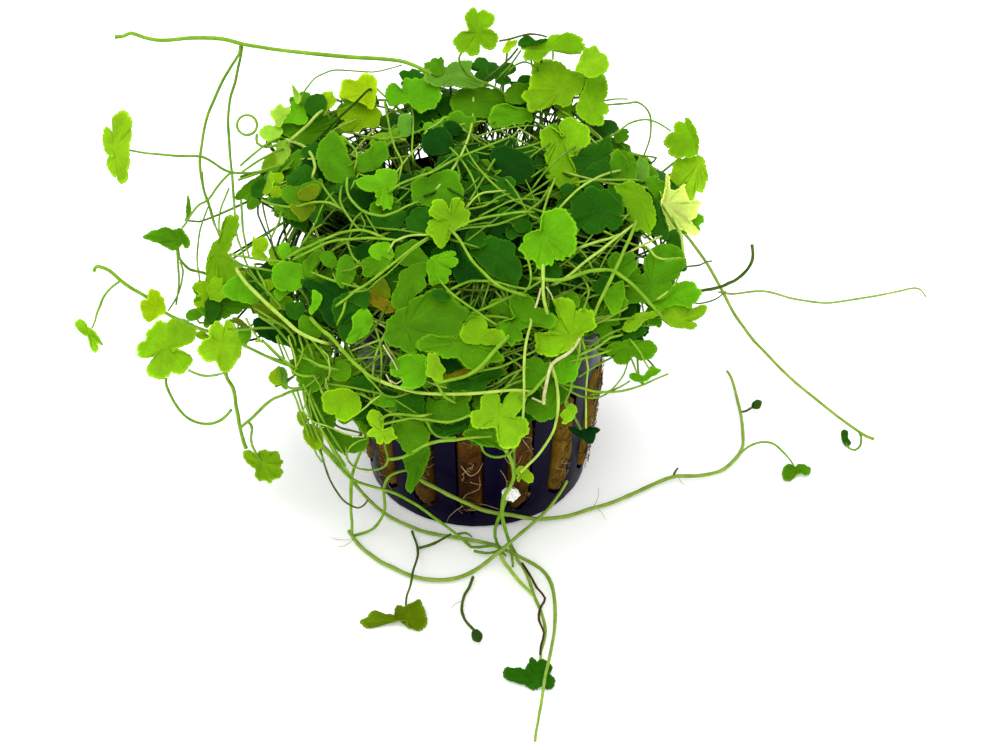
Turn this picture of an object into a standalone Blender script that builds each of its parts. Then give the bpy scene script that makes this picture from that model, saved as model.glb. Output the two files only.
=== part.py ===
"""Hydrocotyle with trailing runners in a slotted net pot packed with rock wool.

Lengths are in millimetres until a mesh is made, then metres. Z is up and the
origin is the centre of the pot base. Stems and blades are placed by hand-read
positions in the photo (pixels across, pixels down) plus a depth or a height.
"""
import math

import bmesh
import bpy
from mathutils import Vector

MM = 0.001
OBJECT_NAME = "hydrocotyle"
GAP = 0.35
WOOL_GAP = 0.42

# The photo's own view of the pot, found from its rim, base and walls.
VIEW_FOCAL_PIXELS = 2500.0
VIEW_CENTRE_PIXELS = (500.0, 375.0)
VIEW_PLACE = Vector((4.05, -343.1, 293.7))
VIEW_PITCH = math.radians(38.7)

# Net pot.
POT_HEIGHT = 48.0
POT_BASE_RADIUS = 19.3
POT_NECK_RADIUS = 23.7
POT_NECK_HEIGHT = 45.0
POT_WALL = 1.1
POT_FLOOR = 1.4
RIM_RADIUS = 27.5
SKIRT_DROP = 6.0
SKIRT_WALL = 0.95
SLOT_COUNT = 15
SLOT_ANGLE = math.radians(13.5)
SLOT_FIRST_ANGLE = math.radians(-3.0)
SLOT_BOTTOM = 3.5
SLOT_TOP = 27.0
SLOT_CORNER = 1.8

# Rock wool.
WOOL_BOTTOM = POT_FLOOR + WOOL_GAP
WOOL_TOP = 38.0
WOOL_BULGE = 0.9
CROWN_RADIUS = 21.6
CROWN_TOP = 48.2

STEM_SIDES = 6
BLADE_THICKNESS = 0.45

# Foliage groups of the mound: centre and half sizes.
CLUMPS = {
    "foliage_crown": {"centre": (1, -6, 56), "half": (21, 19, 9)},
    "foliage_back": {"centre": (4, 21, 61), "half": (23, 12, 12)},
    "foliage_back_left": {"centre": (-29, 9, 60), "half": (14, 13, 12)},
    "foliage_left": {"centre": (-36, -5, 47), "half": (15, 12, 10)},
    "foliage_front_left": {"centre": (-25, -24, 35), "half": (12, 10, 18)},
    "foliage_front": {"centre": (-2, -33, 43), "half": (18, 9, 15)},
    "foliage_right_front": {"centre": (25, -20, 43), "half": (13, 11, 12)},
    "foliage_right": {"centre": (30, 4, 56), "half": (12, 14, 15)},
}
CLUMP_SEGMENTS = 14
CLUMP_RINGS = 9

# Stems that hang or arch in the air: pixels across, pixels down, depth.
AIR_STEMS = {
    "runner_top_left": {
        "radius": 0.6,
        "path": ((422, 69, 20), (384, 59, 21), (350, 57, 22), (317, 54, 23), (280, 50, 24), (242, 44, 25),
                 (212, 38, 26), (190, 38, 26), (156, 40, 27), (128, 33, 28), (115, 37, 28)),
    },
    "petiole_hang_outer": {
        "radius": 0.38,
        "path": ((239, 54, 24), (232, 65, 23), (216, 89, 21), (205, 120, 18), (202, 143, 16), (200, 167, 13),
                 (205, 194, 10), (211, 214, 8)),
    },
    "petiole_hang_inner": {
        "radius": 0.38,
        "path": ((241, 55, 25.4), (235, 83, 23), (229, 107, 21), (229, 138, 18), (232, 174, 14), (234, 205, 10)),
    },
    "petiole_far_left": {
        "radius": 0.36,
        "path": ((257, 172, 5), (230, 172, 5), (214, 163, 6), (203, 157, 6), (179, 156, 7), (156, 154, 8),
                 (134, 151, 8.6)),
    },
    "runner_left": {
        "radius": 0.5,
        "path": ((210, 332, -14), (198, 328, -13.5), (180, 320, -13), (163, 311, -12.5), (148, 298, -12),
                 (131, 288, -12), (120, 280, -12), (110, 271, -12), (101, 267, -12), (95, 270, -12)),
    },
    "petiole_left_leaf": {
        "radius": 0.34,
        "path": ((117, 284, -13), (108, 291, -14), (100, 306, -15), (96, 320, -15.5)),
    },
    "stem_left_upper": {
        "radius": 0.38,
        "path": ((204, 273, -8), (189, 269, -9), (182, 262, -10), (178, 253, -11)),
    },
    "stem_loop_left": {
        "radius": 0.42,
        "path": ((166, 383, -8), (169, 390, -8), (173, 399, -9), (184, 416, -10), (204, 424, -11), (220, 420, -12),
                 (229, 412, -13)),
    },
    "stem_left_drop": {
        "radius": 0.5,
        "path": ((227, 378, -12), (232, 386, -12), (236, 406, -13), (239, 423, -13), (244, 443, -13)),
    },
    "stem_left_branch": {
        "radius": 0.45,
        "path": ((293, 391, -19), (281, 396, -18), (270, 401, -17), (261, 409, -16), (253, 418, -15),
                 (245, 425, -15)),
    },
    "petiole_low_left": {
        "radius": 0.34,
        "path": ((252, 428, -15), (251, 437, -15), (251, 445, -15)),
    },
    "petiole_top_leaf": {
        "radius": 0.36,
        "path": ((500, 90, 17), (487, 84, 16.5), (469, 76, 16), (462, 67, 14), (459, 60, 13), (460, 53, 13)),
    },
    "runner_right": {
        "radius": 0.5,
        "path": ((680, 228, 10), (690, 240, 10), (708, 265, 10), (725, 296, 9), (735, 315, 8.5), (745, 329, 8),
                 (763, 350, 7.4), (796, 383, 7), (837, 416, 6), (858, 431, 5.2), (874, 438, 4.6)),
    },
    "stem_right_bare": {
        "radius": 0.5,
        "path": ((698, 292, -1), (712, 289, -1), (723, 286, -1), (734, 281, -1), (741, 276, -1), (749, 267, -1),
                 (752, 258, -1), (752, 245, -1)),
    },
    "petiole_right_long": {
        "radius": 0.32,
        "path": ((733, 294, 8), (763, 291, 7), (790, 298, 6), (824, 303, 5), (850, 300, 4), (900, 291, 3),
                 (915, 288, 2), (926, 297, 2)),
    },
    "stem_front_mid": {
        "radius": 0.5,
        "path": ((490, 432, -36), (508, 454, -33), (514, 474, -29), (511, 485, -27.5), (504, 497, -26.2),
                 (502, 513, -25), (505, 528, -24), (508, 536, -23.5)),
    },
    "stem_front_straight": {
        "radius": 0.4,
        "path": ((320, 446, -24), (350, 478, -23), (385, 490, -23.8), (408, 500, -24.5), (443, 524, -24.2),
                 (455, 533, -23.3)),
    },
    "petiole_front_node": {
        "radius": 0.5,
        "path": ((367, 439, -20), (354, 467, -20), (351, 500, -21), (352, 529, -22)),
    },
    "petiole_front_arch": {
        "radius": 0.42,
        "path": ((367, 532, -20.8), (378, 523, -20.8), (384, 510, -20.8), (385, 484, -21.5), (388, 478, -21.8),
                 (393, 474, -22), (402, 471, -22.4)),
    },
}

# Stems that lie along the surface: pixels across, pixels down, height.
GROUND_STEMS = {
    "runner_front_arc": {
        "radius": 0.65,
        "path": ((355, 540, 0.8), (371, 555, 0.8), (392, 567, 0.8), (412, 576, 0.8), (439, 580, 0.8),
                 (463, 576, 0.8), (480, 567, 1.0), (494, 556, 2.2), (505, 547, 2.9), (520, 534, 2.7),
                 (541, 516, 3.2), (555, 500, 5.0), (567, 481, 9.0)),
    },
    "runner_front_long": {
        "radius": 0.6,
        "path": ((328, 440, 22), (340, 462, 14), (350, 477, 9), (369, 500, 3.2), (392, 518, 0.9),
                 (422, 531, 0.8), (459, 538, 0.8), (494, 545, 0.8), (516, 555, 0.8), (541, 569, 0.8),
                 (553, 590, 0.8), (555, 622, 0.8), (552, 645, 1.3), (549, 660, 2.3), (545, 677, 2.4),
                 (543, 691, 2.2), (541, 705, 0.9), (538, 722, 0.8), (535, 741, 0.8)),
    },
    "runner_right_ground": {
        "radius": 0.55,
        "path": ((421, 480, 12.3), (440, 490, 10.8), (458, 499, 9.3), (480, 509, 7.0), (512, 515, 4.6),
                 (540, 519, 1.4), (568, 516, 0.8), (593, 508, 0.8), (623, 498, 0.8), (654, 484, 0.8),
                 (678, 476, 0.8), (714, 473, 0.8), (739, 454, 0.8), (743, 435, 0.8), (740, 410, 0.8),
                 (734, 386, 0.8), (727, 371, 0.8)),
    },
    "petiole_front_leaf": {
        "radius": 0.42,
        "path": ((522, 566, 0.6), (529, 580, 0.6), (535, 598, 0.6), (543, 618, 0.6), (545, 636, 0.6),
                 (541, 652, 0.6)),
    },
    "petiole_front_crumpled": {
        "radius": 0.34,
        "path": ((414, 537, 0.5), (418, 553, 0.5), (415, 565, 1.8), (412, 577, 2.7), (409, 590, 1.8),
                 (406, 600, 0.9)),
    },
    "petiole_ground_leaf": {
        "radius": 0.34,
        "path": ((748, 447, 1.9), (766, 442, 2.6), (780, 449, 2.0), (791, 461, 1.0)),
    },
    "petiole_right_end": {
        "radius": 0.34,
        "path": ((861, 441, 0.5), (860, 446, 0.5), (855, 450, 0.5), (849, 448, 0.5)),
    },
}

# Short stalks that end in a bud: the last three points swell.
BUD_STALKS = {
    "bud_front": {
        "radius": 0.32, "bud": 1.2,
        "path": ((469, 588, 0.5), (463, 600, 0.5), (462, 612, 0.5), (465, 620, 0.7), (473, 629, 1.2),
                 (475, 632, 1.4), (477, 637, 1.4)),
    },
    "bud_right": {
        "radius": 0.28, "bud": 1.1,
        "path": ((746, 411, 0.9), (751, 408, 1.3), (754, 407, 1.4), (757, 405, 1.4)),
    },
}

# Blades that stand clear of the mound: outline in pixels, junction depth and
# how far the face turns to the left or right of the photo's view.
AIR_BLADES = {
    "leaf_far_left": {
        "depth": 9, "turn": -35, "lean": 10,
        "outline": ((116, 115), (122, 111), (129, 115), (132, 125), (130, 150), (128, 165), (127, 179),
                    (122, 185), (119, 176), (113, 177), (107, 165), (113, 157), (105, 152), (103, 137),
                    (107, 127), (115, 134), (113, 121)),
    },
    "leaf_left_small": {
        "depth": -15, "turn": 0, "lean": 10,
        "outline": ((76, 321), (83, 320), (91, 329), (95, 330), (103, 345), (97, 342), (96, 353), (91, 348),
                    (88, 336), (84, 335), (75, 328)),
    },
    "leaf_left_upper": {
        "depth": -11, "turn": 0, "lean": 10,
        "outline": ((143, 236), (157, 230), (166, 227), (179, 228), (186, 234), (190, 243), (186, 248),
                    (180, 241), (175, 249), (164, 245), (155, 241)),
    },
    "leaf_left_yellow": {
        "depth": -17, "turn": 0, "lean": 10,
        "outline": ((140, 304), (148, 299), (149, 289), (158, 291), (164, 299), (166, 311), (160, 315), (149, 322),
                    (143, 315)),
    },
    "leaf_left_large": {
        "depth": -7, "turn": 0, "lean": 15,
        "outline": ((138, 356), (139, 344), (145, 339), (150, 328), (161, 320), (181, 320), (194, 334),
                    (187, 345), (172, 349), (187, 353), (192, 358), (187, 369), (176, 374), (171, 371),
                    (165, 379), (156, 378), (147, 372), (156, 356)),
    },
    "leaf_lower_left": {
        "depth": -20, "turn": 0, "lean": 10,
        "outline": ((198, 352), (203, 360), (212, 362), (218, 360), (219, 369), (226, 372), (234, 366), (241, 354),
                    (243, 343), (234, 325), (228, 320), (223, 326), (218, 320), (212, 325), (210, 332),
                    (200, 341)),
    },
    "leaf_low_left": {
        "depth": -15, "turn": 0, "lean": 15,
        "outline": ((243, 453), (250, 451), (258, 454), (268, 450), (279, 452), (283, 461), (282, 474), (270, 483),
                    (254, 475), (250, 463), (244, 459)),
    },
    "leaf_top": {
        "depth": 15, "turn": 0, "lean": 10,
        "outline": ((466, 13), (474, 9), (480, 15), (490, 13), (495, 20), (485, 28), (497, 33), (496, 45),
                    (487, 50), (478, 43), (477, 54), (468, 54), (464, 49), (456, 48), (455, 38), (469, 30),
                    (466, 20)),
    },
    "leaf_front_low": {
        "depth": -27, "turn": 0, "lean": -25,
        "outline": ((403, 458), (412, 453), (422, 449), (430, 449), (428, 462), (422, 478), (413, 490),
                    (409, 493), (406, 485), (408, 478), (403, 466)),
    },
}

# Blades that lie on the surface: outline in pixels and height of the blade.
GROUND_BLADES = {
    "leaf_front_crumpled": {
        "height": 0.5,
        "outline": ((360, 622), (370, 617), (375, 611), (383, 616), (393, 616), (396, 606), (405, 606),
                    (419, 600), (425, 614), (426, 625), (422, 630), (409, 626), (409, 621), (400, 620),
                    (383, 622), (367, 628)),
    },
    "leaf_front_ground": {
        "height": 0.5,
        "outline": ((504, 676), (506, 668), (516, 668), (526, 668), (531, 659), (542, 661), (552, 664), (555, 684),
                    (549, 687), (527, 688), (521, 682)),
    },
    "leaf_right_ground": {
        "height": 0.5,
        "outline": ((782, 473), (787, 465), (795, 467), (804, 465), (810, 470), (809, 475), (796, 474), (790, 479),
                    (785, 480)),
    },
    "leaf_right_end": {
        "height": 0.5,
        "outline": ((842, 433), (845, 430), (848, 434), (849, 443), (846, 445), (843, 440)),
    },
}

# White perlite grain caught in the roots at the front.
PERLITE_PLACE = (511, 493, -24.0)
PERLITE_HALF = (1.7, 0.8, 1.3)

COLOURS = {
    "pot": (0.012, 0.011, 0.016, 1.0),
    "wool": (0.16, 0.09, 0.03, 1.0),
    "perlite": (0.8, 0.8, 0.76, 1.0),
    "stem": (0.30, 0.45, 0.06, 1.0),
    "blade": (0.16, 0.42, 0.02, 1.0),
    "mound": (0.10, 0.30, 0.02, 1.0),
}


def clear_scene():
    for thing in list(bpy.data.objects):
        bpy.data.objects.remove(thing, do_unlink=True)


def new_collection(name):
    group = bpy.data.collections.new(name)
    bpy.context.scene.collection.children.link(group)
    return group


def photo_ray(across, down):
    right = (across - VIEW_CENTRE_PIXELS[0]) / VIEW_FOCAL_PIXELS
    up = (VIEW_CENTRE_PIXELS[1] - down) / VIEW_FOCAL_PIXELS
    forward = math.cos(VIEW_PITCH) + up * math.sin(VIEW_PITCH)
    rise = up * math.cos(VIEW_PITCH) - math.sin(VIEW_PITCH)
    return Vector((right, forward, rise))


def at_depth(across, down, depth):
    ray = photo_ray(across, down)
    return VIEW_PLACE + ray * ((depth - VIEW_PLACE.y) / ray.y)


def at_height(across, down, height):
    ray = photo_ray(across, down)
    return VIEW_PLACE + ray * ((height - VIEW_PLACE.z) / ray.z)


def on_plane(across, down, anchor, normal):
    ray = photo_ray(across, down)
    return VIEW_PLACE + ray * ((anchor - VIEW_PLACE).dot(normal) / ray.dot(normal))


def paint(thing, colour_name, roughness):
    material = bpy.data.materials.new(thing.name)
    material.use_nodes = True
    shader = material.node_tree.nodes["Principled BSDF"]
    shader.inputs["Base Color"].default_value = COLOURS[colour_name]
    shader.inputs["Roughness"].default_value = roughness
    thing.data.materials.append(material)


def finish_mesh(name, mesh_builder, group):
    bmesh.ops.remove_doubles(mesh_builder, verts=mesh_builder.verts, dist=0.0005)
    bmesh.ops.recalc_face_normals(mesh_builder, faces=mesh_builder.faces)
    for vertex in mesh_builder.verts:
        vertex.co *= MM
    mesh = bpy.data.meshes.new(name)
    mesh_builder.to_mesh(mesh)
    mesh_builder.free()
    thing = bpy.data.objects.new(name, mesh)
    group.objects.link(thing)
    return thing


def around(radius, angle, height):
    return Vector((radius * math.sin(angle), -radius * math.cos(angle), height))


def wall_radius(height):
    return POT_BASE_RADIUS + (POT_NECK_RADIUS - POT_BASE_RADIUS) * height / POT_NECK_HEIGHT


def slot_columns(inset):
    """Angles across every slot with the slot's lower and upper edge there."""
    half = SLOT_ANGLE / 2 - inset / POT_BASE_RADIUS
    corner = SLOT_CORNER / POT_BASE_RADIUS
    lift = SLOT_CORNER + inset * 1.3
    columns = []
    for number in range(SLOT_COUNT):
        middle = SLOT_FIRST_ANGLE + number * 2 * math.pi / SLOT_COUNT
        columns.append((middle - half, SLOT_BOTTOM + lift, SLOT_TOP - lift))
        columns.append((middle - half + corner, SLOT_BOTTOM + inset, SLOT_TOP - inset))
        columns.append((middle + half - corner, SLOT_BOTTOM + inset, SLOT_TOP - inset))
        columns.append((middle + half, SLOT_BOTTOM + lift, SLOT_TOP - lift))
    return columns


def build_net_pot(group):
    skirt_bottom = POT_HEIGHT - SKIRT_DROP
    under_rim = POT_HEIGHT - 3.6
    builder = bmesh.new()
    loops = []
    for angle, slot_low, slot_high in slot_columns(0.0):
        profile = (
            (POT_BASE_RADIUS - 0.6, 0.0),
            (wall_radius(0.5), 0.5),
            (wall_radius(slot_low), slot_low),
            (wall_radius(slot_high), slot_high),
            (wall_radius(under_rim), under_rim),
            (RIM_RADIUS - SKIRT_WALL - 0.2, under_rim),
            (RIM_RADIUS - SKIRT_WALL - 0.1, skirt_bottom),
            (RIM_RADIUS - 0.1, skirt_bottom),
            (RIM_RADIUS, POT_HEIGHT - 0.7),
            (RIM_RADIUS - 0.7, POT_HEIGHT),
            (POT_NECK_RADIUS + 0.4, POT_HEIGHT),
            (wall_radius(under_rim) - POT_WALL, under_rim + 1.6),
            (wall_radius(slot_high) - POT_WALL, slot_high),
            (wall_radius(slot_low) - POT_WALL, slot_low),
            (wall_radius(POT_FLOOR) - POT_WALL, POT_FLOOR),
        )
        loops.append([builder.verts.new(around(radius, angle, height)) for radius, height in profile])
    outer_slot, inner_slot = 2, 12
    base_centre = builder.verts.new((0, 0, 0))
    floor_centre = builder.verts.new((0, 0, POT_FLOOR))
    count = len(loops)
    rows = len(loops[0])
    for index, here in enumerate(loops):
        after = loops[(index + 1) % count]
        in_slot = index % 4 != 3
        for row in range(rows - 1):
            if in_slot and row in (outer_slot, inner_slot):
                continue
            builder.faces.new((here[row], after[row], after[row + 1], here[row + 1]))
        if in_slot:
            builder.faces.new((here[outer_slot], here[inner_slot + 1], after[inner_slot + 1], after[outer_slot]))
            builder.faces.new((here[outer_slot + 1], after[outer_slot + 1], after[inner_slot], here[inner_slot]))
        if index % 4 in (0, 3):
            builder.faces.new((here[outer_slot], here[outer_slot + 1], here[inner_slot], here[inner_slot + 1]))
        builder.faces.new((base_centre, after[0], here[0]))
        builder.faces.new((floor_centre, here[rows - 1], after[rows - 1]))
    pot = finish_mesh("net_pot", builder, group)
    paint(pot, "pot", 0.35)
    return pot


def build_rock_wool(group):
    builder = bmesh.new()
    loops = []
    slack = POT_WALL + WOOL_GAP
    for index, (angle, low, high) in enumerate(slot_columns(WOOL_GAP)):
        middle = (low + high) / 2
        recessed = (
            (wall_radius(WOOL_BOTTOM) - slack, WOOL_BOTTOM),
            (wall_radius(low) - slack, low),
            (wall_radius(low) - slack, low),
            (wall_radius(middle) - slack, middle),
            (wall_radius(high) - slack, high),
            (wall_radius(high) - slack, high),
            (wall_radius(WOOL_TOP) - slack, WOOL_TOP),
        )
        swollen = (
            recessed[0],
            recessed[1],
            (wall_radius(low) + WOOL_BULGE * 0.4, low),
            (wall_radius(middle) + WOOL_BULGE, middle),
            (wall_radius(high) + WOOL_BULGE * 0.4, high),
            recessed[5],
            recessed[6],
        )
        shapes = {0: (recessed, swollen), 1: (swollen,), 2: (swollen,), 3: (swollen, recessed)}[index % 4]
        for shape in shapes:
            loops.append([builder.verts.new(around(radius, angle, height)) for radius, height in shape])
    bottom_centre = builder.verts.new((0, 0, WOOL_BOTTOM))
    top_centre = builder.verts.new((0, 0, WOOL_TOP))
    count = len(loops)
    rows = len(loops[0])
    for index, here in enumerate(loops):
        after = loops[(index + 1) % count]
        for row in range(rows - 1):
            builder.faces.new((here[row], after[row], after[row + 1], here[row + 1]))
        builder.faces.new((bottom_centre, after[0], here[0]))
        builder.faces.new((top_centre, here[rows - 1], after[rows - 1]))
    wool = finish_mesh("rock_wool", builder, group)
    paint(wool, "wool", 0.9)
    return wool


def build_perlite(group):
    centre = at_depth(*PERLITE_PLACE)
    half_x, half_y, half_z = PERLITE_HALF
    corners = (
        (-1.0, -0.5, -0.8), (0.2, -1.0, -1.0), (1.0, -0.3, -0.2), (0.5, -0.6, 1.0), (-0.8, -0.4, 0.9),
        (-0.5, 1.0, -0.5), (0.7, 0.9, -0.1), (0.1, 1.0, 0.6),
    )
    builder = bmesh.new()
    for x, y, z in corners:
        builder.verts.new(centre + Vector((x * half_x, y * half_y, z * half_z)))
    bmesh.ops.convex_hull(builder, input=builder.verts)
    grain = finish_mesh("perlite_grain", builder, group)
    paint(grain, "perlite", 0.8)


def ring_frames(points):
    """Direction and two cross axes at every point, carried along the path."""
    frames = []
    across = None
    for index, point in enumerate(points):
        before = points[max(index - 1, 0)]
        after = points[min(index + 1, len(points) - 1)]
        direction = (after - before).normalized()
        if across is None:
            across = direction.orthogonal().normalized()
        across = (across - direction * across.dot(direction)).normalized()
        frames.append((point, across, direction.cross(across)))
    return frames


def build_stem(name, points, radii, group):
    builder = bmesh.new()
    rings = []
    for (point, across, over), radius in zip(ring_frames(points), radii):
        ring = []
        for side in range(STEM_SIDES):
            angle = 2 * math.pi * side / STEM_SIDES
            ring.append(builder.verts.new(point + (across * math.cos(angle) + over * math.sin(angle)) * radius))
        rings.append(ring)
    for here, after in zip(rings, rings[1:]):
        for side in range(STEM_SIDES):
            follow = (side + 1) % STEM_SIDES
            builder.faces.new((here[side], here[follow], after[follow], after[side]))
    builder.faces.new(rings[0])
    builder.faces.new(rings[-1])
    stem = finish_mesh(name, builder, group)
    paint(stem, "stem", 0.45)
    return stem


def build_blade(name, points, normal, group):
    builder = bmesh.new()
    half = normal * (BLADE_THICKNESS / 2)
    upper = [builder.verts.new(point + half) for point in points]
    lower = [builder.verts.new(point - half) for point in points]
    count = len(points)
    for index in range(count):
        follow = (index + 1) % count
        builder.faces.new((upper[index], upper[follow], lower[follow], lower[index]))
    faces = [builder.faces.new(upper), builder.faces.new(lower)]
    bmesh.ops.triangulate(builder, faces=faces)
    blade = finish_mesh(name, builder, group)
    paint(blade, "blade", 0.45)
    return blade


def inside_clump(point, margin):
    for clump in CLUMPS.values():
        offset = point - Vector(clump["centre"])
        reach = sum((offset[axis] / (clump["half"][axis] + margin)) ** 2 for axis in range(3))
        if reach < 1:
            return True
    return False


def clear_of_clumps(points, radius):
    """The path from its free end back to where it meets the mound."""
    margin = radius + GAP
    kept = []
    for point in reversed(points):
        if inside_clump(point, margin):
            if kept:
                outer, inner = kept[-1], point
                for _ in range(12):
                    middle = (outer + inner) / 2
                    if inside_clump(middle, margin):
                        inner = middle
                    else:
                        outer = middle
                kept.append(outer)
            break
        kept.append(point)
    return kept


def face_normal(turn, lean):
    """Unit normal of a blade that faces the photo's view, turned and leaned."""
    tilt = VIEW_PITCH + math.radians(lean)
    swing = math.radians(turn)
    return Vector((
        math.cos(tilt) * math.sin(swing),
        -math.cos(tilt) * math.cos(swing),
        math.sin(tilt),
    )).normalized()


def build_stems(group):
    for name, stem in AIR_STEMS.items():
        points = clear_of_clumps([at_depth(*place) for place in stem["path"]], stem["radius"])
        build_stem(name, points, [stem["radius"]] * len(points), group)
    for name, stem in GROUND_STEMS.items():
        points = clear_of_clumps([at_height(*place) for place in stem["path"]], stem["radius"])
        build_stem(name, points, [stem["radius"]] * len(points), group)
    for name, stem in BUD_STALKS.items():
        points = [at_height(*place) for place in stem["path"]]
        radii = [stem["radius"]] * (len(points) - 3) + [stem["radius"], stem["bud"], stem["bud"] * 0.6]
        build_stem(name, points, radii, group)


def build_blades(group):
    for name, blade in AIR_BLADES.items():
        outline = blade["outline"]
        middle_across = sum(place[0] for place in outline) / len(outline)
        middle_down = sum(place[1] for place in outline) / len(outline)
        anchor = at_depth(middle_across, middle_down, blade["depth"])
        normal = face_normal(blade["turn"], blade["lean"])
        build_blade(name, [on_plane(*place, anchor, normal) for place in outline], normal, group)
    for name, blade in GROUND_BLADES.items():
        points = [at_height(*place, blade["height"]) for place in blade["outline"]]
        build_blade(name, points, Vector((0, 0, 1)), group)


def turned(name, profile, group, segments):
    builder = bmesh.new()
    loops = []
    for index in range(segments):
        angle = 2 * math.pi * index / segments
        loops.append([builder.verts.new(around(radius, angle, height)) for radius, height in profile])
    low = builder.verts.new((0, 0, profile[0][1]))
    high = builder.verts.new((0, 0, profile[-1][1]))
    for index, here in enumerate(loops):
        after = loops[(index + 1) % segments]
        for row in range(len(profile) - 1):
            builder.faces.new((here[row], after[row], after[row + 1], here[row + 1]))
        builder.faces.new((low, after[0], here[0]))
        builder.faces.new((high, here[-1], after[-1]))
    return finish_mesh(name, builder, group)


def build_crown_stems(group):
    profile = (
        (CROWN_RADIUS - 1.5, WOOL_TOP + GAP),
        (CROWN_RADIUS - 0.6, WOOL_TOP + 4),
        (CROWN_RADIUS, POT_HEIGHT - 1.5),
        (CROWN_RADIUS - 0.8, CROWN_TOP),
    )
    crown = turned("crown_stems", profile, group, 24)
    paint(crown, "stem", 0.5)


def support(half, direction):
    return math.sqrt(sum((half[axis] * direction[axis]) ** 2 for axis in range(3)))


def build_clumps(group, cutters):
    keep_out = turned("pot_keep_out", (
        (POT_BASE_RADIUS + 1.6, -2.0),
        (wall_radius(POT_HEIGHT - SKIRT_DROP - 0.6) + 1.6, POT_HEIGHT - SKIRT_DROP - 0.6),
        (RIM_RADIUS + 0.5, POT_HEIGHT - SKIRT_DROP - 0.5),
        (RIM_RADIUS + 0.5, CROWN_TOP + GAP),
    ), cutters, 40)
    keep_out.hide_render = True
    keep_out.display_type = "WIRE"
    for name, clump in CLUMPS.items():
        centre = Vector(clump["centre"])
        half = clump["half"]
        builder = bmesh.new()
        bmesh.ops.create_uvsphere(builder, u_segments=CLUMP_SEGMENTS, v_segments=CLUMP_RINGS, radius=1.0)
        for vertex in builder.verts:
            vertex.co = centre + Vector([vertex.co[axis] * half[axis] for axis in range(3)])
        for other_name, other in CLUMPS.items():
            if other_name == name:
                continue
            apart = Vector(other["centre"]) - centre
            direction = apart.normalized()
            mine = support(half, direction)
            theirs = support(other["half"], direction)
            cut = centre + apart * (mine / (mine + theirs)) - direction * GAP
            geometry = builder.verts[:] + builder.edges[:] + builder.faces[:]
            bmesh.ops.bisect_plane(builder, geom=geometry, plane_co=cut, plane_no=direction, clear_outer=True)
            rim = [edge for edge in builder.edges if edge.is_boundary]
            if rim:
                bmesh.ops.holes_fill(builder, edges=rim)
        thing = finish_mesh(name, builder, group)
        paint(thing, "mound", 0.5)
        boolean = thing.modifiers.new("clear_of_pot", "BOOLEAN")
        boolean.operation = "DIFFERENCE"
        boolean.solver = "EXACT"
        boolean.object = keep_out


def main():
    clear_scene()
    group = new_collection(OBJECT_NAME)
    cutters = new_collection("cutters")
    build_net_pot(group)
    build_rock_wool(group)
    build_perlite(group)
    build_crown_stems(group)
    build_clumps(group, cutters)
    build_stems(group)
    build_blades(group)


main()
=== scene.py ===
import math
import random

import bmesh
import bpy
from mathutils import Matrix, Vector, noise


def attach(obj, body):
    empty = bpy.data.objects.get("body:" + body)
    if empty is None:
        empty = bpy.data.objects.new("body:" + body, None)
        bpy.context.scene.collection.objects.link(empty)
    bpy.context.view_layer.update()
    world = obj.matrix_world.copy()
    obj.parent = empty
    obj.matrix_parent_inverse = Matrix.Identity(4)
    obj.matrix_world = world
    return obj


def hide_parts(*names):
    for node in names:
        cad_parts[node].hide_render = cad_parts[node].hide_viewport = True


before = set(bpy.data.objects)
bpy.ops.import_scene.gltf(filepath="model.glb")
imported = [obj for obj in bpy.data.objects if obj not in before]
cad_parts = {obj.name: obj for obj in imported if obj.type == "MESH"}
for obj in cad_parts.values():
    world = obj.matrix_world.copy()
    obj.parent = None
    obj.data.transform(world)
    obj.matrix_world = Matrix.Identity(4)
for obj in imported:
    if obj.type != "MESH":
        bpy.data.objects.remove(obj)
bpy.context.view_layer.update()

mm = 0.001
bpy.context.scene.view_settings.view_transform = "Standard"

# Where the photo was taken from. Blades and stems are placed by looking
# through points of the photo (pixels across, pixels down), in millimetres.
photoView = {
    "focalPixels": 2500.0,
    "centreAcross": 500.0,
    "centreDown": 375.0,
    "place": Vector((4.05, -343.1, 293.7)),
    "pitchDegrees": 38.7,
    "lens": 90.0,
    "sensor": 36.0,
}

# The rounded shell that the mound of foliage fills, and its groups.
mound = {"centre": Vector((-2.0, -2.0, 36.0)), "radii": Vector((46.0, 36.0, 30.0))}
clumps = {
    "crown": {"centre": Vector((1, -6, 56)), "half": Vector((21, 19, 9))},
    "back": {"centre": Vector((4, 21, 61)), "half": Vector((23, 12, 12))},
    "back_left": {"centre": Vector((-29, 9, 60)), "half": Vector((14, 13, 12))},
    "left": {"centre": Vector((-36, -5, 47)), "half": Vector((15, 12, 10))},
    "front_left": {"centre": Vector((-25, -24, 35)), "half": Vector((12, 10, 18))},
    "front": {"centre": Vector((-2, -33, 43)), "half": Vector((18, 9, 15))},
    "right_front": {"centre": Vector((25, -20, 43)), "half": Vector((13, 11, 12))},
    "right": {"centre": Vector((30, 4, 56)), "half": Vector((12, 14, 15))},
}

# blade colours: deep, dark, shade and bottle are darker partly as painted shade, for blades that lie in the
# mound's shade; bright and lime are partly painted light, for young blades in full light
bladeTints = {
    "bright": "#6ea009",
    "fresh": "#7aa812",
    "lively": "#5a9c08",
    "mid": "#498004",
    "deep": "#225a03",
    "dark": "#0d4002",
    "shade": "#092c02",
    "lime": "#8db006",
    "olive": "#5c7504",
    "grey": "#578a24",
    "pale": "#b6ca62",
    "yellow": "#b3bc30",
    "limelight": "#93bf38",
    "yolk": "#7ba305",
    "rust": "#7d7208",
    "bottle": "#06320c",
}

# deep is partly painted shade: the dark green given to stems inside the mound, behind the traced blades and
# in its shaded middle
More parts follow.
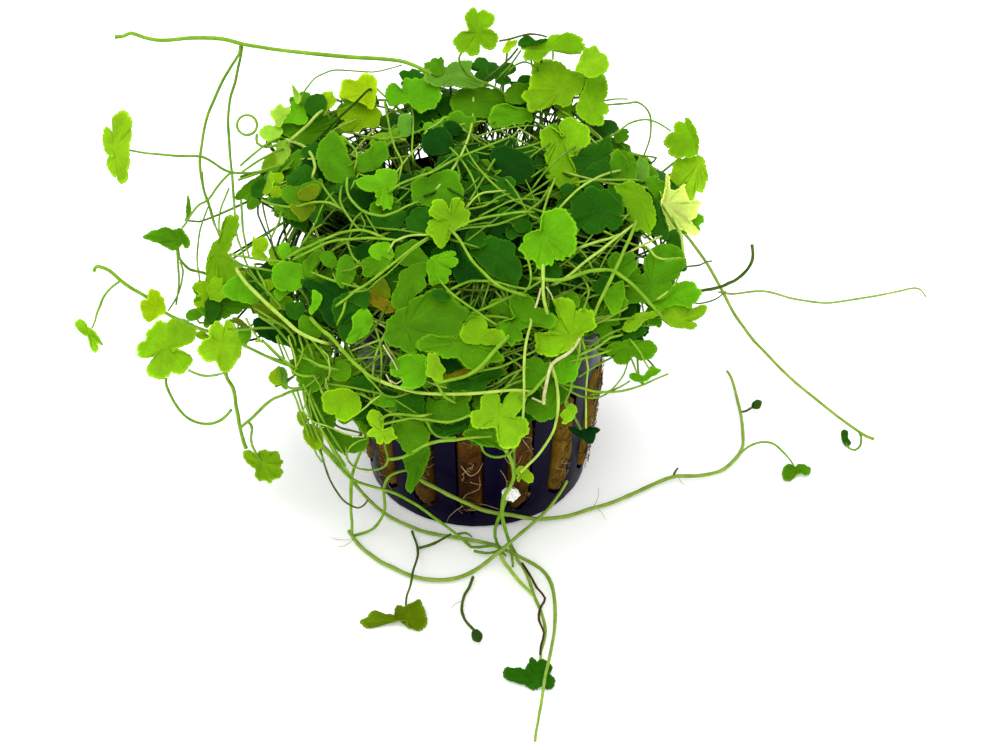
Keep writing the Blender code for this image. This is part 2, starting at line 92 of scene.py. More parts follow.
stemTints = {
    "bright": ("#87b32d", "#689619"),
    "pale": ("#b4ce5c", "#90b436"),
    "straw": ("#98b44a", "#799a2c"),
    "green": ("#7aa327", "#548315"),
    "olive": ("#566f1e", "#3a5411"),
    "deep": ("#2f560d", "#1e3d08"),
    "brown": ("#5a4420", "#34220e"),
    "rust": ("#4a3212", "#2c1a08"),
    "dead": ("#d2d29c", "#a8a66c"),
    "root": ("#b9a877", "#86693c"),
}
stemKinds = list(stemTints)


def linearColour(hexText):
    parts = [int(hexText[start:start + 2], 16) / 255 for start in (1, 3, 5)]
    return [part / 12.92 if part <= 0.04045 else ((part + 0.055) / 1.055) ** 2.4 for part in parts] + [1.0]


def photoRay(across, down):
    right = (across - photoView["centreAcross"]) / photoView["focalPixels"]
    up = (photoView["centreDown"] - down) / photoView["focalPixels"]
    pitch = math.radians(photoView["pitchDegrees"])
    forward = math.cos(pitch) + up * math.sin(pitch)
    rise = up * math.cos(pitch) - math.sin(pitch)
    return Vector((right, forward, rise)).normalized()


def atDepth(across, down, depth):
    ray = photoRay(across, down)
    return photoView["place"] + ray * ((depth - photoView["place"].y) / ray.y)


def atHeight(across, down, height):
    ray = photoRay(across, down)
    return photoView["place"] + ray * ((height - photoView["place"].z) / ray.z)


def onPlane(across, down, anchor, normal):
    ray = photoRay(across, down)
    return photoView["place"] + ray * ((anchor - photoView["place"]).dot(normal) / ray.dot(normal))


def overMound(across, down, lift=0.0):
    # the mound's shell where the line of sight meets it, lifted towards the camera
    ray = photoRay(across, down)
    start = photoView["place"] - mound["centre"]
    start = Vector([start[axis] / mound["radii"][axis] for axis in range(3)])
    step = Vector([ray[axis] / mound["radii"][axis] for axis in range(3)])
    square = step.dot(step)
    half = start.dot(step)
    inside = half * half - square * (start.dot(start) - 1)
    reach = (-half - math.sqrt(inside)) / square if inside > 0 else -half / square
    return photoView["place"] + ray * (reach - lift)


def toPhoto(point):
    pitch = math.radians(photoView["pitchDegrees"])
    offset = point - photoView["place"]
    forward = offset.y * math.cos(pitch) - offset.z * math.sin(pitch)
    rise = offset.y * math.sin(pitch) + offset.z * math.cos(pitch)
    scale = photoView["focalPixels"] / forward
    return photoView["centreAcross"] + offset.x * scale, photoView["centreDown"] - rise * scale


def shellNormal(point):
    offset = point - mound["centre"]
    return Vector([offset[axis] / mound["radii"][axis] ** 2 for axis in range(3)]).normalized()


def nearestClump(point):
    def reach(name):
        offset = point - clumps[name]["centre"]
        return sum((offset[axis] / clumps[name]["half"][axis]) ** 2 for axis in range(3))
    return min(clumps, key=reach)


# camera
cameraData = bpy.data.cameras.new("photoCamera")
cameraData.lens = photoView["lens"]
cameraData.sensor_width = photoView["sensor"]
cameraData.clip_start = 0.01
camera = bpy.data.objects.new("photoCamera", cameraData)
camera.location = photoView["place"] * mm
camera.rotation_euler = (math.radians(90.0 - photoView["pitchDegrees"]), 0.0, 0.0)
bpy.context.scene.collection.objects.link(camera)
bpy.context.scene.camera = camera
print("camera placed")


# materials
def addNode(tree, kind, settings=None, links=None):
    made = tree.nodes.new(kind)
    for name, value in (settings or {}).items():
        if isinstance(name, str) and hasattr(made, name):
            setattr(made, name, value)
        else:
            made.inputs[name].default_value = value
    for name, source in (links or {}).items():
        tree.links.new(source, made.inputs[name])
    return made


def newMaterial(name):
    material = bpy.data.materials.new(name)
    material.use_nodes = True
    tree = material.node_tree
    tree.nodes.clear()
    out = addNode(tree, "ShaderNodeOutputMaterial")
    return material, tree, out


def cellBump(tree, place, scale, strength, distance):
    cells = addNode(tree, "ShaderNodeTexNoise", {"Scale": scale, "Detail": 3.0}, {"Vector": place})
    return addNode(tree, "ShaderNodeBump", {"Strength": strength, "Distance": distance},
        {"Height": cells.outputs["Fac"]})


def makeBladeMaterial():
    # living pennywort blade: thin, waxy, faint pale veins, and a pale rim that is a painted highlight along
    # the edge
    material, tree, out = newMaterial("livingBlade")
    place = addNode(tree, "ShaderNodeTexCoord").outputs["Object"]
    tint = addNode(tree, "ShaderNodeAttribute", {"attribute_name": "bladeTint"}).outputs["Color"]
    grain = addNode(tree, "ShaderNodeUVMap", {"uv_map": "bladeGrain"}).outputs["UV"]
    split = addNode(tree, "ShaderNodeSeparateXYZ", links={"Vector": grain})
    turns = addNode(tree, "ShaderNodeMath", {"operation": "MULTIPLY", 1: 9.0}, {0: split.outputs["X"]})
    wave = addNode(tree, "ShaderNodeMath", {"operation": "PINGPONG", 1: 0.5}, {0: turns.outputs[0]})
    spread = addNode(tree, "ShaderNodeMath", {"operation": "MULTIPLY"},
        {0: wave.outputs[0], 1: split.outputs["Y"]})
    vein = addNode(tree, "ShaderNodeMapRange", {"interpolation_type": "SMOOTHSTEP", "From Min": 0.0,
        "From Max": 0.045, "To Min": 0.2, "To Max": 0.0}, {"Value": spread.outputs[0]})
    # painted highlight: the colour turns lighter in a thin band along the blade's rim
    rim = addNode(tree, "ShaderNodeMapRange", {"interpolation_type": "SMOOTHSTEP", "From Min": 0.9,
        "From Max": 0.97, "To Min": 0.0, "To Max": 0.7}, {"Value": split.outputs["Y"]})
    # patches of about 4 mm
    patches = addNode(tree, "ShaderNodeTexNoise", {"Scale": 260.0, "Detail": 4.0, "Roughness": 0.6},
        {"Vector": place})
    patchLevel = addNode(tree, "ShaderNodeMapRange", {"From Min": 0.3, "From Max": 0.7, "To Min": 0.82,
        "To Max": 1.14}, {"Value": patches.outputs["Fac"]})
    # cells of about 0.5 mm
    speckle = addNode(tree, "ShaderNodeTexVoronoi", {"Scale": 2200.0}, {"Vector": place})
    speckleLevel = addNode(tree, "ShaderNodeMapRange",
        {"From Min": 0.0, "From Max": 0.7, "To Min": 1.05, "To Max": 0.93},
        {"Value": speckle.outputs["Distance"]})
    level = addNode(tree, "ShaderNodeMath", {"operation": "MULTIPLY"},
        {0: patchLevel.outputs[0], 1: speckleLevel.outputs[0]})
    body = addNode(tree, "ShaderNodeVectorMath", {"operation": "SCALE"},
        {"Vector": tint, "Scale": level.outputs[0]})
    light = addNode(tree, "ShaderNodeVectorMath", {"operation": "MULTIPLY_ADD", 1: (1.7, 1.5, 1.6),
        2: (0.02, 0.026, 0.004)}, {0: body.outputs[0]})
    veined = addNode(tree, "ShaderNodeMix", {"data_type": "RGBA"},
        {0: vein.outputs[0], 6: body.outputs[0], 7: light.outputs[0]})
    rimHighlighted = addNode(tree, "ShaderNodeMix", {"data_type": "RGBA"},
        {0: rim.outputs[0], 6: veined.outputs[2], 7: light.outputs[0]})
    bump = cellBump(tree, place, 1500.0, 0.25, 0.00012)
    veinBump = addNode(tree, "ShaderNodeBump", {"Strength": 0.35, "Distance": 0.0002},
        {"Height": vein.outputs[0], "Normal": bump.outputs[0]})
    shine = addNode(tree, "ShaderNodeMapRange", {"To Min": 0.42, "To Max": 0.6},
        {"Value": patches.outputs["Fac"]})
    surface = addNode(tree, "ShaderNodeBsdfPrincipled", {"Specular IOR Level": 0.06, "IOR": 1.4},
        {"Base Color": rimHighlighted.outputs[2], "Roughness": shine.outputs[0], "Normal": veinBump.outputs[0]})
    glow = addNode(tree, "ShaderNodeMix", {"data_type": "RGBA", "blend_type": "MULTIPLY", "Factor": 1.0,
        7: (1.15, 1.1, 0.35, 1.0)}, {6: rimHighlighted.outputs[2]})
    through = addNode(tree, "ShaderNodeBsdfTranslucent", links={"Color": glow.outputs[2]})
    mixed = addNode(tree, "ShaderNodeMixShader", {"Fac": 0.38},
        {1: surface.outputs[0], 2: through.outputs[0]})
    tree.links.new(mixed.outputs[0], out.inputs["Surface"])
    return material


def makeStemMaterial(kind):
    # juicy creeping stem: smooth wet skin with long pale and dark streaks
    main, shadow = stemTints[kind]
    material, tree, out = newMaterial("stemSkin_" + kind)
    place = addNode(tree, "ShaderNodeTexCoord").outputs["Object"]
    # blotches of about 2.5 mm
    streak = addNode(tree, "ShaderNodeTexNoise", {"Scale": 420.0, "Detail": 4.0, "Roughness": 0.65},
        {"Vector": place})
    # pores of about 0.4 mm
    spots = addNode(tree, "ShaderNodeTexVoronoi", {"Scale": 2600.0}, {"Vector": place})
    spotLevel = addNode(tree, "ShaderNodeMapRange", {"From Max": 0.6, "To Min": 0.25, "To Max": 0.0},
        {"Value": spots.outputs["Distance"]})
    blend = addNode(tree, "ShaderNodeMapRange", {"From Min": 0.35, "From Max": 0.68},
        {"Value": streak.outputs["Fac"]})
    amount = addNode(tree, "ShaderNodeMath", {"operation": "ADD", "use_clamp": True},
        {0: blend.outputs[0], 1: spotLevel.outputs[0]})
    colour = addNode(tree, "ShaderNodeMix", {"data_type": "RGBA", 6: linearColour(main),
        7: linearColour(shadow)}, {0: amount.outputs[0]})
    bump = cellBump(tree, place, 1800.0, 0.3, 0.0001)
    shine = addNode(tree, "ShaderNodeMapRange", {"To Min": 0.32, "To Max": 0.5},
        {"Value": streak.outputs["Fac"]})
    surface = addNode(tree, "ShaderNodeBsdfPrincipled", {"Specular IOR Level": 0.1, "IOR": 1.4},
        {"Base Color": colour.outputs[2], "Roughness": shine.outputs[0], "Normal": bump.outputs[0]})
    through = addNode(tree, "ShaderNodeBsdfTranslucent", links={"Color": colour.outputs[2]})
    mixed = addNode(tree, "ShaderNodeMixShader", {"Fac": 0.2}, {1: surface.outputs[0], 2: through.outputs[0]})
    tree.links.new(mixed.outputs[0], out.inputs["Surface"])
    return material


def makePotMaterial():
    # injection-moulded black polypropylene: satin, faint violet cast, water marks
    material, tree, out = newMaterial("mouldedPolypropylene")
    place = addNode(tree, "ShaderNodeTexCoord").outputs["Object"]
    film = addNode(tree, "ShaderNodeTexNoise", {"Scale": 90.0, "Detail": 6.0, "Roughness": 0.6},
        {"Vector": place})
    grit = addNode(tree, "ShaderNodeTexNoise", {"Scale": 1600.0, "Detail": 3.0}, {"Vector": place})
    amount = addNode(tree, "ShaderNodeMapRange", {"From Min": 0.45, "From Max": 0.8, "To Min": 0.0,
        "To Max": 0.45}, {"Value": film.outputs["Fac"]})
    colour = addNode(tree, "ShaderNodeMix", {"data_type": "RGBA", 6: linearColour("#05011a"),
        7: linearColour("#0c0524")}, {0: amount.outputs[0]})
    shine = addNode(tree, "ShaderNodeMapRange", {"From Min": 0.3, "From Max": 0.7, "To Min": 0.26,
        "To Max": 0.44}, {"Value": film.outputs["Fac"]})
    bump = addNode(tree, "ShaderNodeBump", {"Strength": 0.18, "Distance": 0.00008},
        {"Height": grit.outputs["Fac"]})
    surface = addNode(tree, "ShaderNodeBsdfPrincipled", {"IOR": 1.49, "Specular IOR Level": 0.04},
        {"Base Color": colour.outputs[2], "Roughness": shine.outputs[0], "Normal": bump.outputs[0]})
    tree.links.new(surface.outputs[0], out.inputs["Surface"])
    return material


def makeWoolMaterial():
    # wet rock wool stained by growing: matted brown fibres and brown stain patches, with an ochre stain
    # colour that grows towards the left and right sides as painted light
    material, tree, out = newMaterial("stainedRockWool")
    place = addNode(tree, "ShaderNodeTexCoord").outputs["Object"]
    stain = addNode(tree, "ShaderNodeTexNoise", {"Scale": 75.0, "Detail": 5.0, "Roughness": 0.6,
        "Distortion": 0.6}, {"Vector": place})
    lay = addNode(tree, "ShaderNodeMapping", {"Scale": (1.0, 1.0, 0.35), "Rotation": (0.3, 0.2, 0.0)},
        {"Vector": place})
    # fibres drawn about 0.5 mm apart
    fibres = addNode(tree, "ShaderNodeTexNoise", {"Scale": 1100.0, "Detail": 8.0, "Roughness": 0.72,
        "Distortion": 1.2}, {"Vector": lay.outputs[0]})
    ramp = addNode(tree, "ShaderNodeValToRGB", links={"Fac": stain.outputs["Fac"]})
    stops = ramp.color_ramp.elements
    stops[0].position, stops[0].color = 0.34, linearColour("#200b03")
    stops[1].position, stops[1].color = 0.66, linearColour("#55340a")
    middle = stops.new(0.5)
    middle.color = linearColour("#361a05")
    fibreLevel = addNode(tree, "ShaderNodeMapRange", {"From Min": 0.3, "From Max": 0.72, "To Min": 0.45,
        "To Max": 1.5}, {"Value": fibres.outputs["Fac"]})
    split = addNode(tree, "ShaderNodeSeparateXYZ", links={"Vector": place})
    side = addNode(tree, "ShaderNodeMath", {"operation": "ABSOLUTE"}, {0: split.outputs["X"]})
    # painted light: the wool turns a lighter ochre towards its left and right sides
    sideLightOchre = addNode(tree, "ShaderNodeMapRange", {"interpolation_type": "SMOOTHSTEP", "From Min": 0.004,
        "From Max": 0.017, "To Min": 0.0, "To Max": 0.75}, {"Value": side.outputs[0]})
    ochre = addNode(tree, "ShaderNodeMix", {"data_type": "RGBA", 7: linearColour("#6e5510")},
        {0: sideLightOchre.outputs[0], 6: ramp.outputs["Color"]})
    colour = addNode(tree, "ShaderNodeVectorMath", {"operation": "SCALE"},
        {"Vector": ochre.outputs[2], "Scale": fibreLevel.outputs[0]})
    bump = addNode(tree, "ShaderNodeBump", {"Strength": 0.7, "Distance": 0.0004},
        {"Height": fibres.outputs["Fac"]})
    shine = addNode(tree, "ShaderNodeMapRange", {"To Min": 0.5, "To Max": 0.8},
        {"Value": fibres.outputs["Fac"]})
    surface = addNode(tree, "ShaderNodeBsdfPrincipled", {"Specular IOR Level": 0.04},
        {"Base Color": colour.outputs[0], "Roughness": shine.outputs[0], "Normal": bump.outputs[0]})
    tree.links.new(surface.outputs[0], out.inputs["Surface"])
    return material


def makePerliteMaterial():
    # expanded perlite: chalky white glass foam with pin holes, which are painted darker as shade
    material, tree, out = newMaterial("perliteFoam")
    place = addNode(tree, "ShaderNodeTexCoord").outputs["Object"]
    pitsAndPitShade = addNode(tree, "ShaderNodeTexVoronoi", {"Scale": 2400.0}, {"Vector": place})
    # painted shade: the grain is greyer in its pin holes
    colour = addNode(tree, "ShaderNodeMix", {"data_type": "RGBA", 6: linearColour("#cfd0c4"),
        7: linearColour("#fbfbf6")}, {0: pitsAndPitShade.outputs["Distance"]})
    bump = addNode(tree, "ShaderNodeBump", {"Strength": 0.8, "Distance": 0.0003},
        {"Height": pitsAndPitShade.outputs["Distance"]})
    surface = addNode(tree, "ShaderNodeBsdfPrincipled", {"Roughness": 0.85},
        {"Base Color": colour.outputs[2], "Normal": bump.outputs[0]})
    tree.links.new(surface.outputs[0], out.inputs["Surface"])
    return material


livingBlade = makeBladeMaterial()
stemSkins = [makeStemMaterial(kind) for kind in stemKinds]
print("materials mixed")


# tools shared by the pieces
def linkPiece(name, data):
    piece = bpy.data.objects.new(name, data)
    bpy.context.scene.collection.objects.link(piece)
    return piece


def onlySelect(piece):
    bpy.ops.object.select_all(action="DESELECT")
    piece.select_set(True)
    bpy.context.view_layer.objects.active = piece


def bend(a, b, c, d, part):
    return 0.5 * ((b * 2) + (c - a) * part + (a * 2 - b * 5 + c * 4 - d) * part ** 2
        + (b * 3 - a - c * 3 + d) * part ** 3)


def smoothRim(points, count):
    # a rounded closed outline through the points, in count even steps
    places = [Vector(point) for point in points]
    total = len(places)
    fine = []
    for index in range(total):
        for step in range(6):
            fine.append(bend(places[index - 1], places[index], places[(index + 1) % total],
                places[(index + 2) % total], step / 6))
    lengths = [0.0]
    for index in range(len(fine)):
        lengths.append(lengths[-1] + (fine[(index + 1) % len(fine)] - fine[index]).length)
    rim = []
    cursor = 0
    for step in range(count):
        wanted = lengths[-1] * step / count
        while lengths[cursor + 1] < wanted:
            cursor += 1
        part = (wanted - lengths[cursor]) / max(lengths[cursor + 1] - lengths[cursor], 1e-9)
        rim.append(fine[cursor].lerp(fine[(cursor + 1) % len(fine)], part))
    return rim


def smoothPath(points, spacing=1.1):
    places = [Vector(point) for point in points]
    padded = [places[0] * 2 - places[1]] + places + [places[-1] * 2 - places[-2]]
    path = []
    for index in range(1, len(padded) - 2):
        steps = max(2, int((padded[index + 1] - padded[index]).length / spacing))
        for step in range(steps):
            path.append(bend(padded[index - 1], padded[index], padded[index + 1], padded[index + 2],
                step / steps))
    path.append(places[-1])
    return path


def cross2(a, b):
    return a.x * b.y - a.y * b.x


def bladeHeart(rim):
    # the point inside the rim that sees most of it, where the veins meet
    lowX, highX = min(p.x for p in rim), max(p.x for p in rim)
    lowY, highY = min(p.y for p in rim), max(p.y for p in rim)
    edges = [(rim[index], rim[(index + 1) % len(rim)]) for index in range(0, len(rim))]
    best, heart = -1e9, None
    for stepX in range(1, 12):
        for stepY in range(1, 12):
            spot = Vector((lowX + (highX - lowX) * stepX / 12, lowY + (highY - lowY) * stepY / 12))
            worst = min(cross2(a - spot, b - spot) / max((b - a).length, 1e-6) for a, b in edges)
            if worst > best:
                best, heart = worst, spot
    return heart


def makeDisc(name, sides, insets):
    # a flat round blade blank, modelled once: a filled circle inset ring by ring, with its middle poked
    bpy.ops.object.select_all(action="DESELECT")
    bpy.ops.mesh.primitive_circle_add(vertices=sides, radius=1.0, fill_type="NGON", location=(0, 0, 0))
    disc = bpy.context.object
    bpy.ops.object.mode_set(mode="EDIT")
    bpy.ops.mesh.select_mode(type="FACE")
    bpy.ops.mesh.select_all(action="SELECT")
    for thickness in insets:
        bpy.ops.mesh.inset(thickness=thickness)
    bpy.ops.mesh.poke()
    bpy.ops.object.mode_set(mode="OBJECT")
    mesh = disc.data
    mesh.name = name
    while mesh.uv_layers:
        mesh.uv_layers.remove(mesh.uv_layers[0])
    grain = mesh.uv_layers.new(name="bladeGrain")
    for face in mesh.polygons:
        middle = math.atan2(face.center.y, face.center.x) / (2 * math.pi) % 1
        for corner in face.loop_indices:
            place = mesh.vertices[mesh.loops[corner].vertex_index].co
            turn = math.atan2(place.y, place.x) / (2 * math.pi) % 1
            if place.length < 0.001:
                turn = middle
            elif turn - middle > 0.5:
                turn -= 1
            elif middle - turn > 0.5:
                turn += 1
            grain.data[corner].uv = (turn, min(place.length, 1.0))
    mesh.color_attributes.new("bladeTint", "FLOAT_COLOR", "POINT")
    bpy.data.objects.remove(disc)
    return mesh


rimSteps = 132
fineDisc = makeDisc("fineDisc", rimSteps, (0.07, 0.3, 0.32))
plainDisc = makeDisc("plainDisc", 36, (0.1, 0.28, 0.3))
coarseDisc = makeDisc("coarseDisc", 20, (0.35,))


def shapeBlade(name, disc, place, tint, rng, streak=0.16):
    # a copy of the blank whose points go where place(turn, reach) says
    mesh = disc.copy()
    colour = linearColour(bladeTints[tint])
    wash = rng.uniform(0.9, 1.12)
    warm = rng.uniform(0.94, 1.08)
    phase = rng.uniform(0, 6.28)
    shades = mesh.color_attributes["bladeTint"].data
    for vertex in mesh.vertices:
        reach = min(vertex.co.length, 1.0)
        turn = math.atan2(vertex.co.y, vertex.co.x) / (2 * math.pi) % 1
        vertex.co = place(turn, reach) * mm
        # the colour grows lighter from the blade's middle towards its rim and varies gently around it
        level = wash * (1.14 + streak * reach + 0.06 * math.sin(2 * math.pi * turn * 2 + phase))
        shades[vertex.index].color = (colour[0] * level * warm, colour[1] * level, colour[2] * level, 1.0)
    return linkPiece(name, mesh)


def tracedBlade(name, rimPoints, anchorOf, normal, tint, rng, ruffle, disc=None, floorHeight=None,
        heart=None, teeth=0.08, frill=1.0):
    disc = disc or fineDisc
    rim = smoothRim(rimPoints, rimSteps)
    if sum(cross2(rim[index], rim[(index + 1) % rimSteps]) for index in range(rimSteps)) < 0:
        rim.reverse()
    middle = Vector(heart) if heart else bladeHeart(rim)
    anchor = anchorOf(middle)
    spans = [(point - middle).length for point in rim]
    wide = sum(spans) / len(spans)
    around = sum((rim[index] - rim[index - 1]).length for index in range(rimSteps))
    toothCount = max(5, round(frill * around / (wide * 0.6)))
    start = rng.uniform(0, 1)
    toothed = []
    for index in range(rimSteps):
        along = rim[(index + 1) % rimSteps] - rim[index - 1]
        out = Vector((along.y, -along.x)).normalized()
        lobe = abs(math.sin(math.pi * (toothCount * index / rimSteps + start))) ** 0.45 - 0.7
        tooth = abs(math.sin(math.pi * (toothCount * 3 * index / rimSteps + start * 3))) - 0.5
        bulge = lobe + 0.45 * tooth
        toothed.append(rim[index] + out * bulge * teeth * wide)
    rim = toothed
    millimetres = (onPlane(middle.x + 10, middle.y, anchor, normal) - anchor).length / 10
    size = wide * millimetres
    cup = rng.uniform(-0.10, 0.16) * ruffle
    waves = [(rng.randint(2, 4), rng.uniform(0, 6.28), rng.uniform(0.05, 0.11)),
        (rng.randint(5, 7), rng.uniform(0, 6.28), rng.uniform(0.02, 0.05))]

    def place(turn, reach):
        spot = turn * rimSteps
        index = int(spot) % rimSteps
        edge = rim[index].lerp(rim[(index + 1) % rimSteps], spot - int(spot))
        span = (edge - middle).length / wide
        target = middle + (edge - middle) * reach
        point = onPlane(target.x, target.y, anchor, normal)
        drop = cup * reach ** 2 + 0.16 * ruffle * (span - 1) * reach ** 2
        for count, phase, height in waves:
            drop += height * ruffle * math.sin(count * 2 * math.pi * turn + phase) * reach ** 2
        point = point + photoRay(target.x, target.y) * drop * size
        if floorHeight is not None and point.z < floorHeight:
            ray = photoRay(target.x, target.y)
            point = point + ray * ((floorHeight - point.z) / ray.z)
        return point

    blade = shapeBlade(name, disc, place, tint, rng)
    return blade, place(0.0, 0.0), size


def leafReach(turn, lobes, sinus):
    # how far a pennywort blade of so many lobes reaches at this turn
    lobe = abs(math.cos(math.pi * lobes * (turn - 0.5)))
    scallop = 0.06 * abs(math.cos(math.pi * lobes * 3 * turn))
    reach = 0.56 + 0.4 * lobe ** 0.55 + scallop
    gap = min(turn, 1 - turn) / 0.09
    return reach * (1 - sinus * math.exp(-gap * gap))


def looseBlade(name, joint, normal, heading, size, tint, rng, disc):
    # a blade of the plant's own shape that no photo point fixes
    across = heading - normal * heading.dot(normal)
    across = across.normalized() if across.length > 0.01 else normal.orthogonal().normalized()
    over = normal.cross(across)
    lobes = rng.choice((3, 5, 5, 7))
    sinus = rng.uniform(0.55, 0.75)
    cup = rng.uniform(-0.12, 0.2)
    phase = rng.uniform(0, 6.28)
    wave = rng.uniform(0.04, 0.11)

    def place(turn, reach):
        span = leafReach(turn, lobes, sinus) * reach * size
        angle = 2 * math.pi * turn
        rise = (cup * reach ** 2 + wave * math.sin(3 * angle + phase) * reach ** 2) * size
        return joint - across * (math.cos(angle) * span) + over * (math.sin(angle) * span) - normal * rise

    return shapeBlade(name, disc, place, tint, rng)


def joinBlades(name, blades, thickness):
    bpy.ops.object.select_all(action="DESELECT")
    for blade in blades:
        blade.select_set(True)
    bpy.context.view_layer.objects.active = blades[0]
    if len(blades) > 1:
        bpy.ops.object.join()
    piece = bpy.context.view_layer.objects.active
    piece.name = name
    piece.data.name = name
    wall = piece.modifiers.new("bladeWall", "SOLIDIFY")
    wall.thickness = thickness * mm
    wall.offset = 0.0
    bpy.ops.object.modifier_apply(modifier="bladeWall")
    bpy.ops.object.shade_smooth()
    piece.data.materials.clear()
    piece.data.materials.append(livingBlade)
    return piece


def drawStems(name, stems, roundness=2):
    # stems: lists of (kind, radius, points, end taper); one curve turned into one mesh
    curve = bpy.data.curves.new(name, "CURVE")
    curve.dimensions = "3D"
    curve.bevel_depth = mm
    curve.bevel_resolution = roundness
    curve.use_fill_caps = True
    for skin in stemSkins:
        curve.materials.append(skin)
    for kind, radius, points, taper in stems:
        strand = curve.splines.new("POLY")
        strand.points.add(len(points) - 1)
        strand.material_index = stemKinds.index(kind)
        strand.use_smooth = True
        last = len(points) - 1
        for index, point in enumerate(points):
            strand.points[index].co = (point.x * mm, point.y * mm, point.z * mm, 1.0)
            swell = 1.0 + 0.06 * math.sin(index * 0.9 + point.x)
            if taper and index > last * 0.6:
                swell *= 1 - taper * (index - last * 0.6) / (last * 0.4)
            if not taper and (index == 0 or index == last):
                swell *= 1.12
            strand.points[index].radius = radius * swell
    piece = linkPiece(name, curve)
    onlySelect(piece)
    bpy.ops.object.convert(target="MESH")
    piece = bpy.context.view_layer.objects.active
    piece.name = name
    piece.data.name = name
    return piece


def aboveFloor(path, radius):
    lowest = radius * 1.2 + 0.05
    return [point if point.z > lowest else atHeight(*toPhoto(point), lowest) for point in path]


def finishPiece(piece, nodes):
    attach(piece, "root")
    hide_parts(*nodes)


def pixels(text):
    return [tuple(float(part) for part in pair.split(",")) for pair in text.split()]


# net pot
netPotLook = {"edgeRadius": 0.28, "edgeSteps": 2, "edgeAngle": 32.0}


def copyNode(node, name):
    # a merged copy of a CAD node to shape further
    copied = linkPiece(name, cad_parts[node].data.copy())
    copied.data.materials.clear()
    onlySelect(copied)
    bpy.ops.object.mode_set(mode="EDIT")
    bpy.ops.mesh.select_all(action="SELECT")
    bpy.ops.mesh.remove_doubles(threshold=0.000005)
    bpy.ops.mesh.tris_convert_to_quads(face_threshold=math.radians(3), shape_threshold=math.radians(60))
    bpy.ops.object.mode_set(mode="OBJECT")
    for vertex in copied.data.vertices:
        vertex.select = False
    return copied


netPot = copyNode("net_pot", "netPotShell")
softEdge = netPot.modifiers.new("softEdge", "BEVEL")
softEdge.width = netPotLook["edgeRadius"] * mm
softEdge.segments = netPotLook["edgeSteps"]
softEdge.limit_method = "ANGLE"
softEdge.angle_limit = math.radians(netPotLook["edgeAngle"])
bpy.ops.object.modifier_apply(modifier="softEdge")
bpy.ops.object.shade_smooth_by_angle(angle=math.radians(28))
netPot.data.materials.append(makePotMaterial())
finishPiece(netPot, ["net_pot"])
print("net pot shaped")

# rock wool
woolLook = {
    "voxel": 0.75, "bulge": 0.4, "tuft": 1.3, "seed": 5, "strands": 620,
    "strandRadius": 0.055, "pot": {"base": 19.3, "neck": 23.7,
        "neckHeight": 45.0}, "bottom": 1.8, "top": 38.0,
}


def wallRadius(height):
    pot = woolLook["pot"]
    return pot["base"] + (pot["neck"] - pot["base"]) * height / pot["neckHeight"]


wool = copyNode("rock_wool", "rockWoolPlug")
voxels = wool.modifiers.new("voxels", "REMESH")
voxels.mode = "VOXEL"
voxels.voxel_size = woolLook["voxel"] * mm
bpy.ops.object.modifier_apply(modifier="voxels")
for vertex in wool.data.vertices:
    place = vertex.co / mm
    lumps = noise.fractal(place * 0.32, 1.0, 2.0, 4)
    outward = Vector((place.x, place.y, 0.0))
    if place.z > woolLook["top"] - 0.6:
        vertex.co.z += (noise.fractal(place * 0.18, 1.0, 2.0, 4) * woolLook["tuft"] - 0.4) * mm
    elif outward.length > 15 and place.z > 3:
        proud = outward.length > wallRadius(place.z) - 0.6
        vertex.co += outward.normalized() * lumps * woolLook["bulge"] * (1.0 if proud else 0.4) * mm
bpy.ops.object.shade_smooth()
wool.data.materials.clear()
stainedRockWool = makeWoolMaterial()
wool.data.materials.append(stainedRockWool)
finishPiece(wool, ["rock_wool"])

# loose fibres and fine roots caught in the slots
woolRng = random.Random(woolLook["seed"])
strands = []
for number in range(woolLook["strands"]):
    slot = woolRng.randrange(15)
    angle = math.radians(-3.0 + 24 * slot + woolRng.uniform(-5.2, 5.2))
    height = woolRng.uniform(5, 25)
    drift = woolRng.uniform(-0.16, 0.16)
    climb = woolRng.uniform(-4.5, 4.5)
    points = []
    for step in range(6):
        part = step / 5
        turn = angle + drift * (part - 0.5) + 0.03 * math.sin(part * 7 + number)
        rise = min(max(height + climb * (part - 0.5), 4.2), 26.3)
        offTurn = abs(math.degrees(turn) + 3.0 - 24 * slot)
        proud = 1.15 if offTurn < 5.6 else -1.5
        points.append(Vector((math.sin(turn), -math.cos(turn), 0.0)) * (wallRadius(rise) + proud
            - 0.35 * woolRng.random()) + Vector((0, 0, rise)))
    kind = woolRng.choice(("brown", "brown", "brown", "rust", "rust", "root"))
    strands.append((kind, woolLook["strandRadius"] * woolRng.uniform(0.7, 1.5), points, 0.6))
for number in range(260):
    angle = woolRng.uniform(0, 2 * math.pi)
    reach = 20.5 * math.sqrt(woolRng.random())
    centre = Vector((math.cos(angle) * reach, math.sin(angle) * reach, woolLook["top"] + 0.3))
    heading = woolRng.uniform(0, 6.28)
    step = Vector((math.cos(heading), math.sin(heading), 0.0))
    points = [centre + step * (part * 1.4) + Vector((0, 0, 0.7 * math.sin(part * 0.9 + number)))
        for part in range(-2, 3)]
    points = [point if math.hypot(point.x, point.y) < 21.3
        else point * (21.3 / math.hypot(point.x, point.y)) for point in points]
    strands.append((woolRng.choice(("brown", "root")), 0.07, points, 0.5))
woolStrands = drawStems("rockWoolStrands", strands, 0)
finishPiece(woolStrands, ["rock_wool"])
print("rock wool packed")

# perlite grain
grain = copyNode("perlite_grain", "perliteGrain")
facets = grain.modifiers.new("facets", "SUBSURF")
facets.subdivision_type = "SIMPLE"
facets.levels = facets.render_levels = 3
bpy.ops.object.modifier_apply(modifier="facets")
for vertex in grain.data.vertices:
    vertex.co += noise.noise_vector(vertex.co * 1800) * 0.00022
grain.data.materials.append(makePerliteMaterial())
finishPiece(grain, ["perlite_grain"])
print("perlite grain broken")

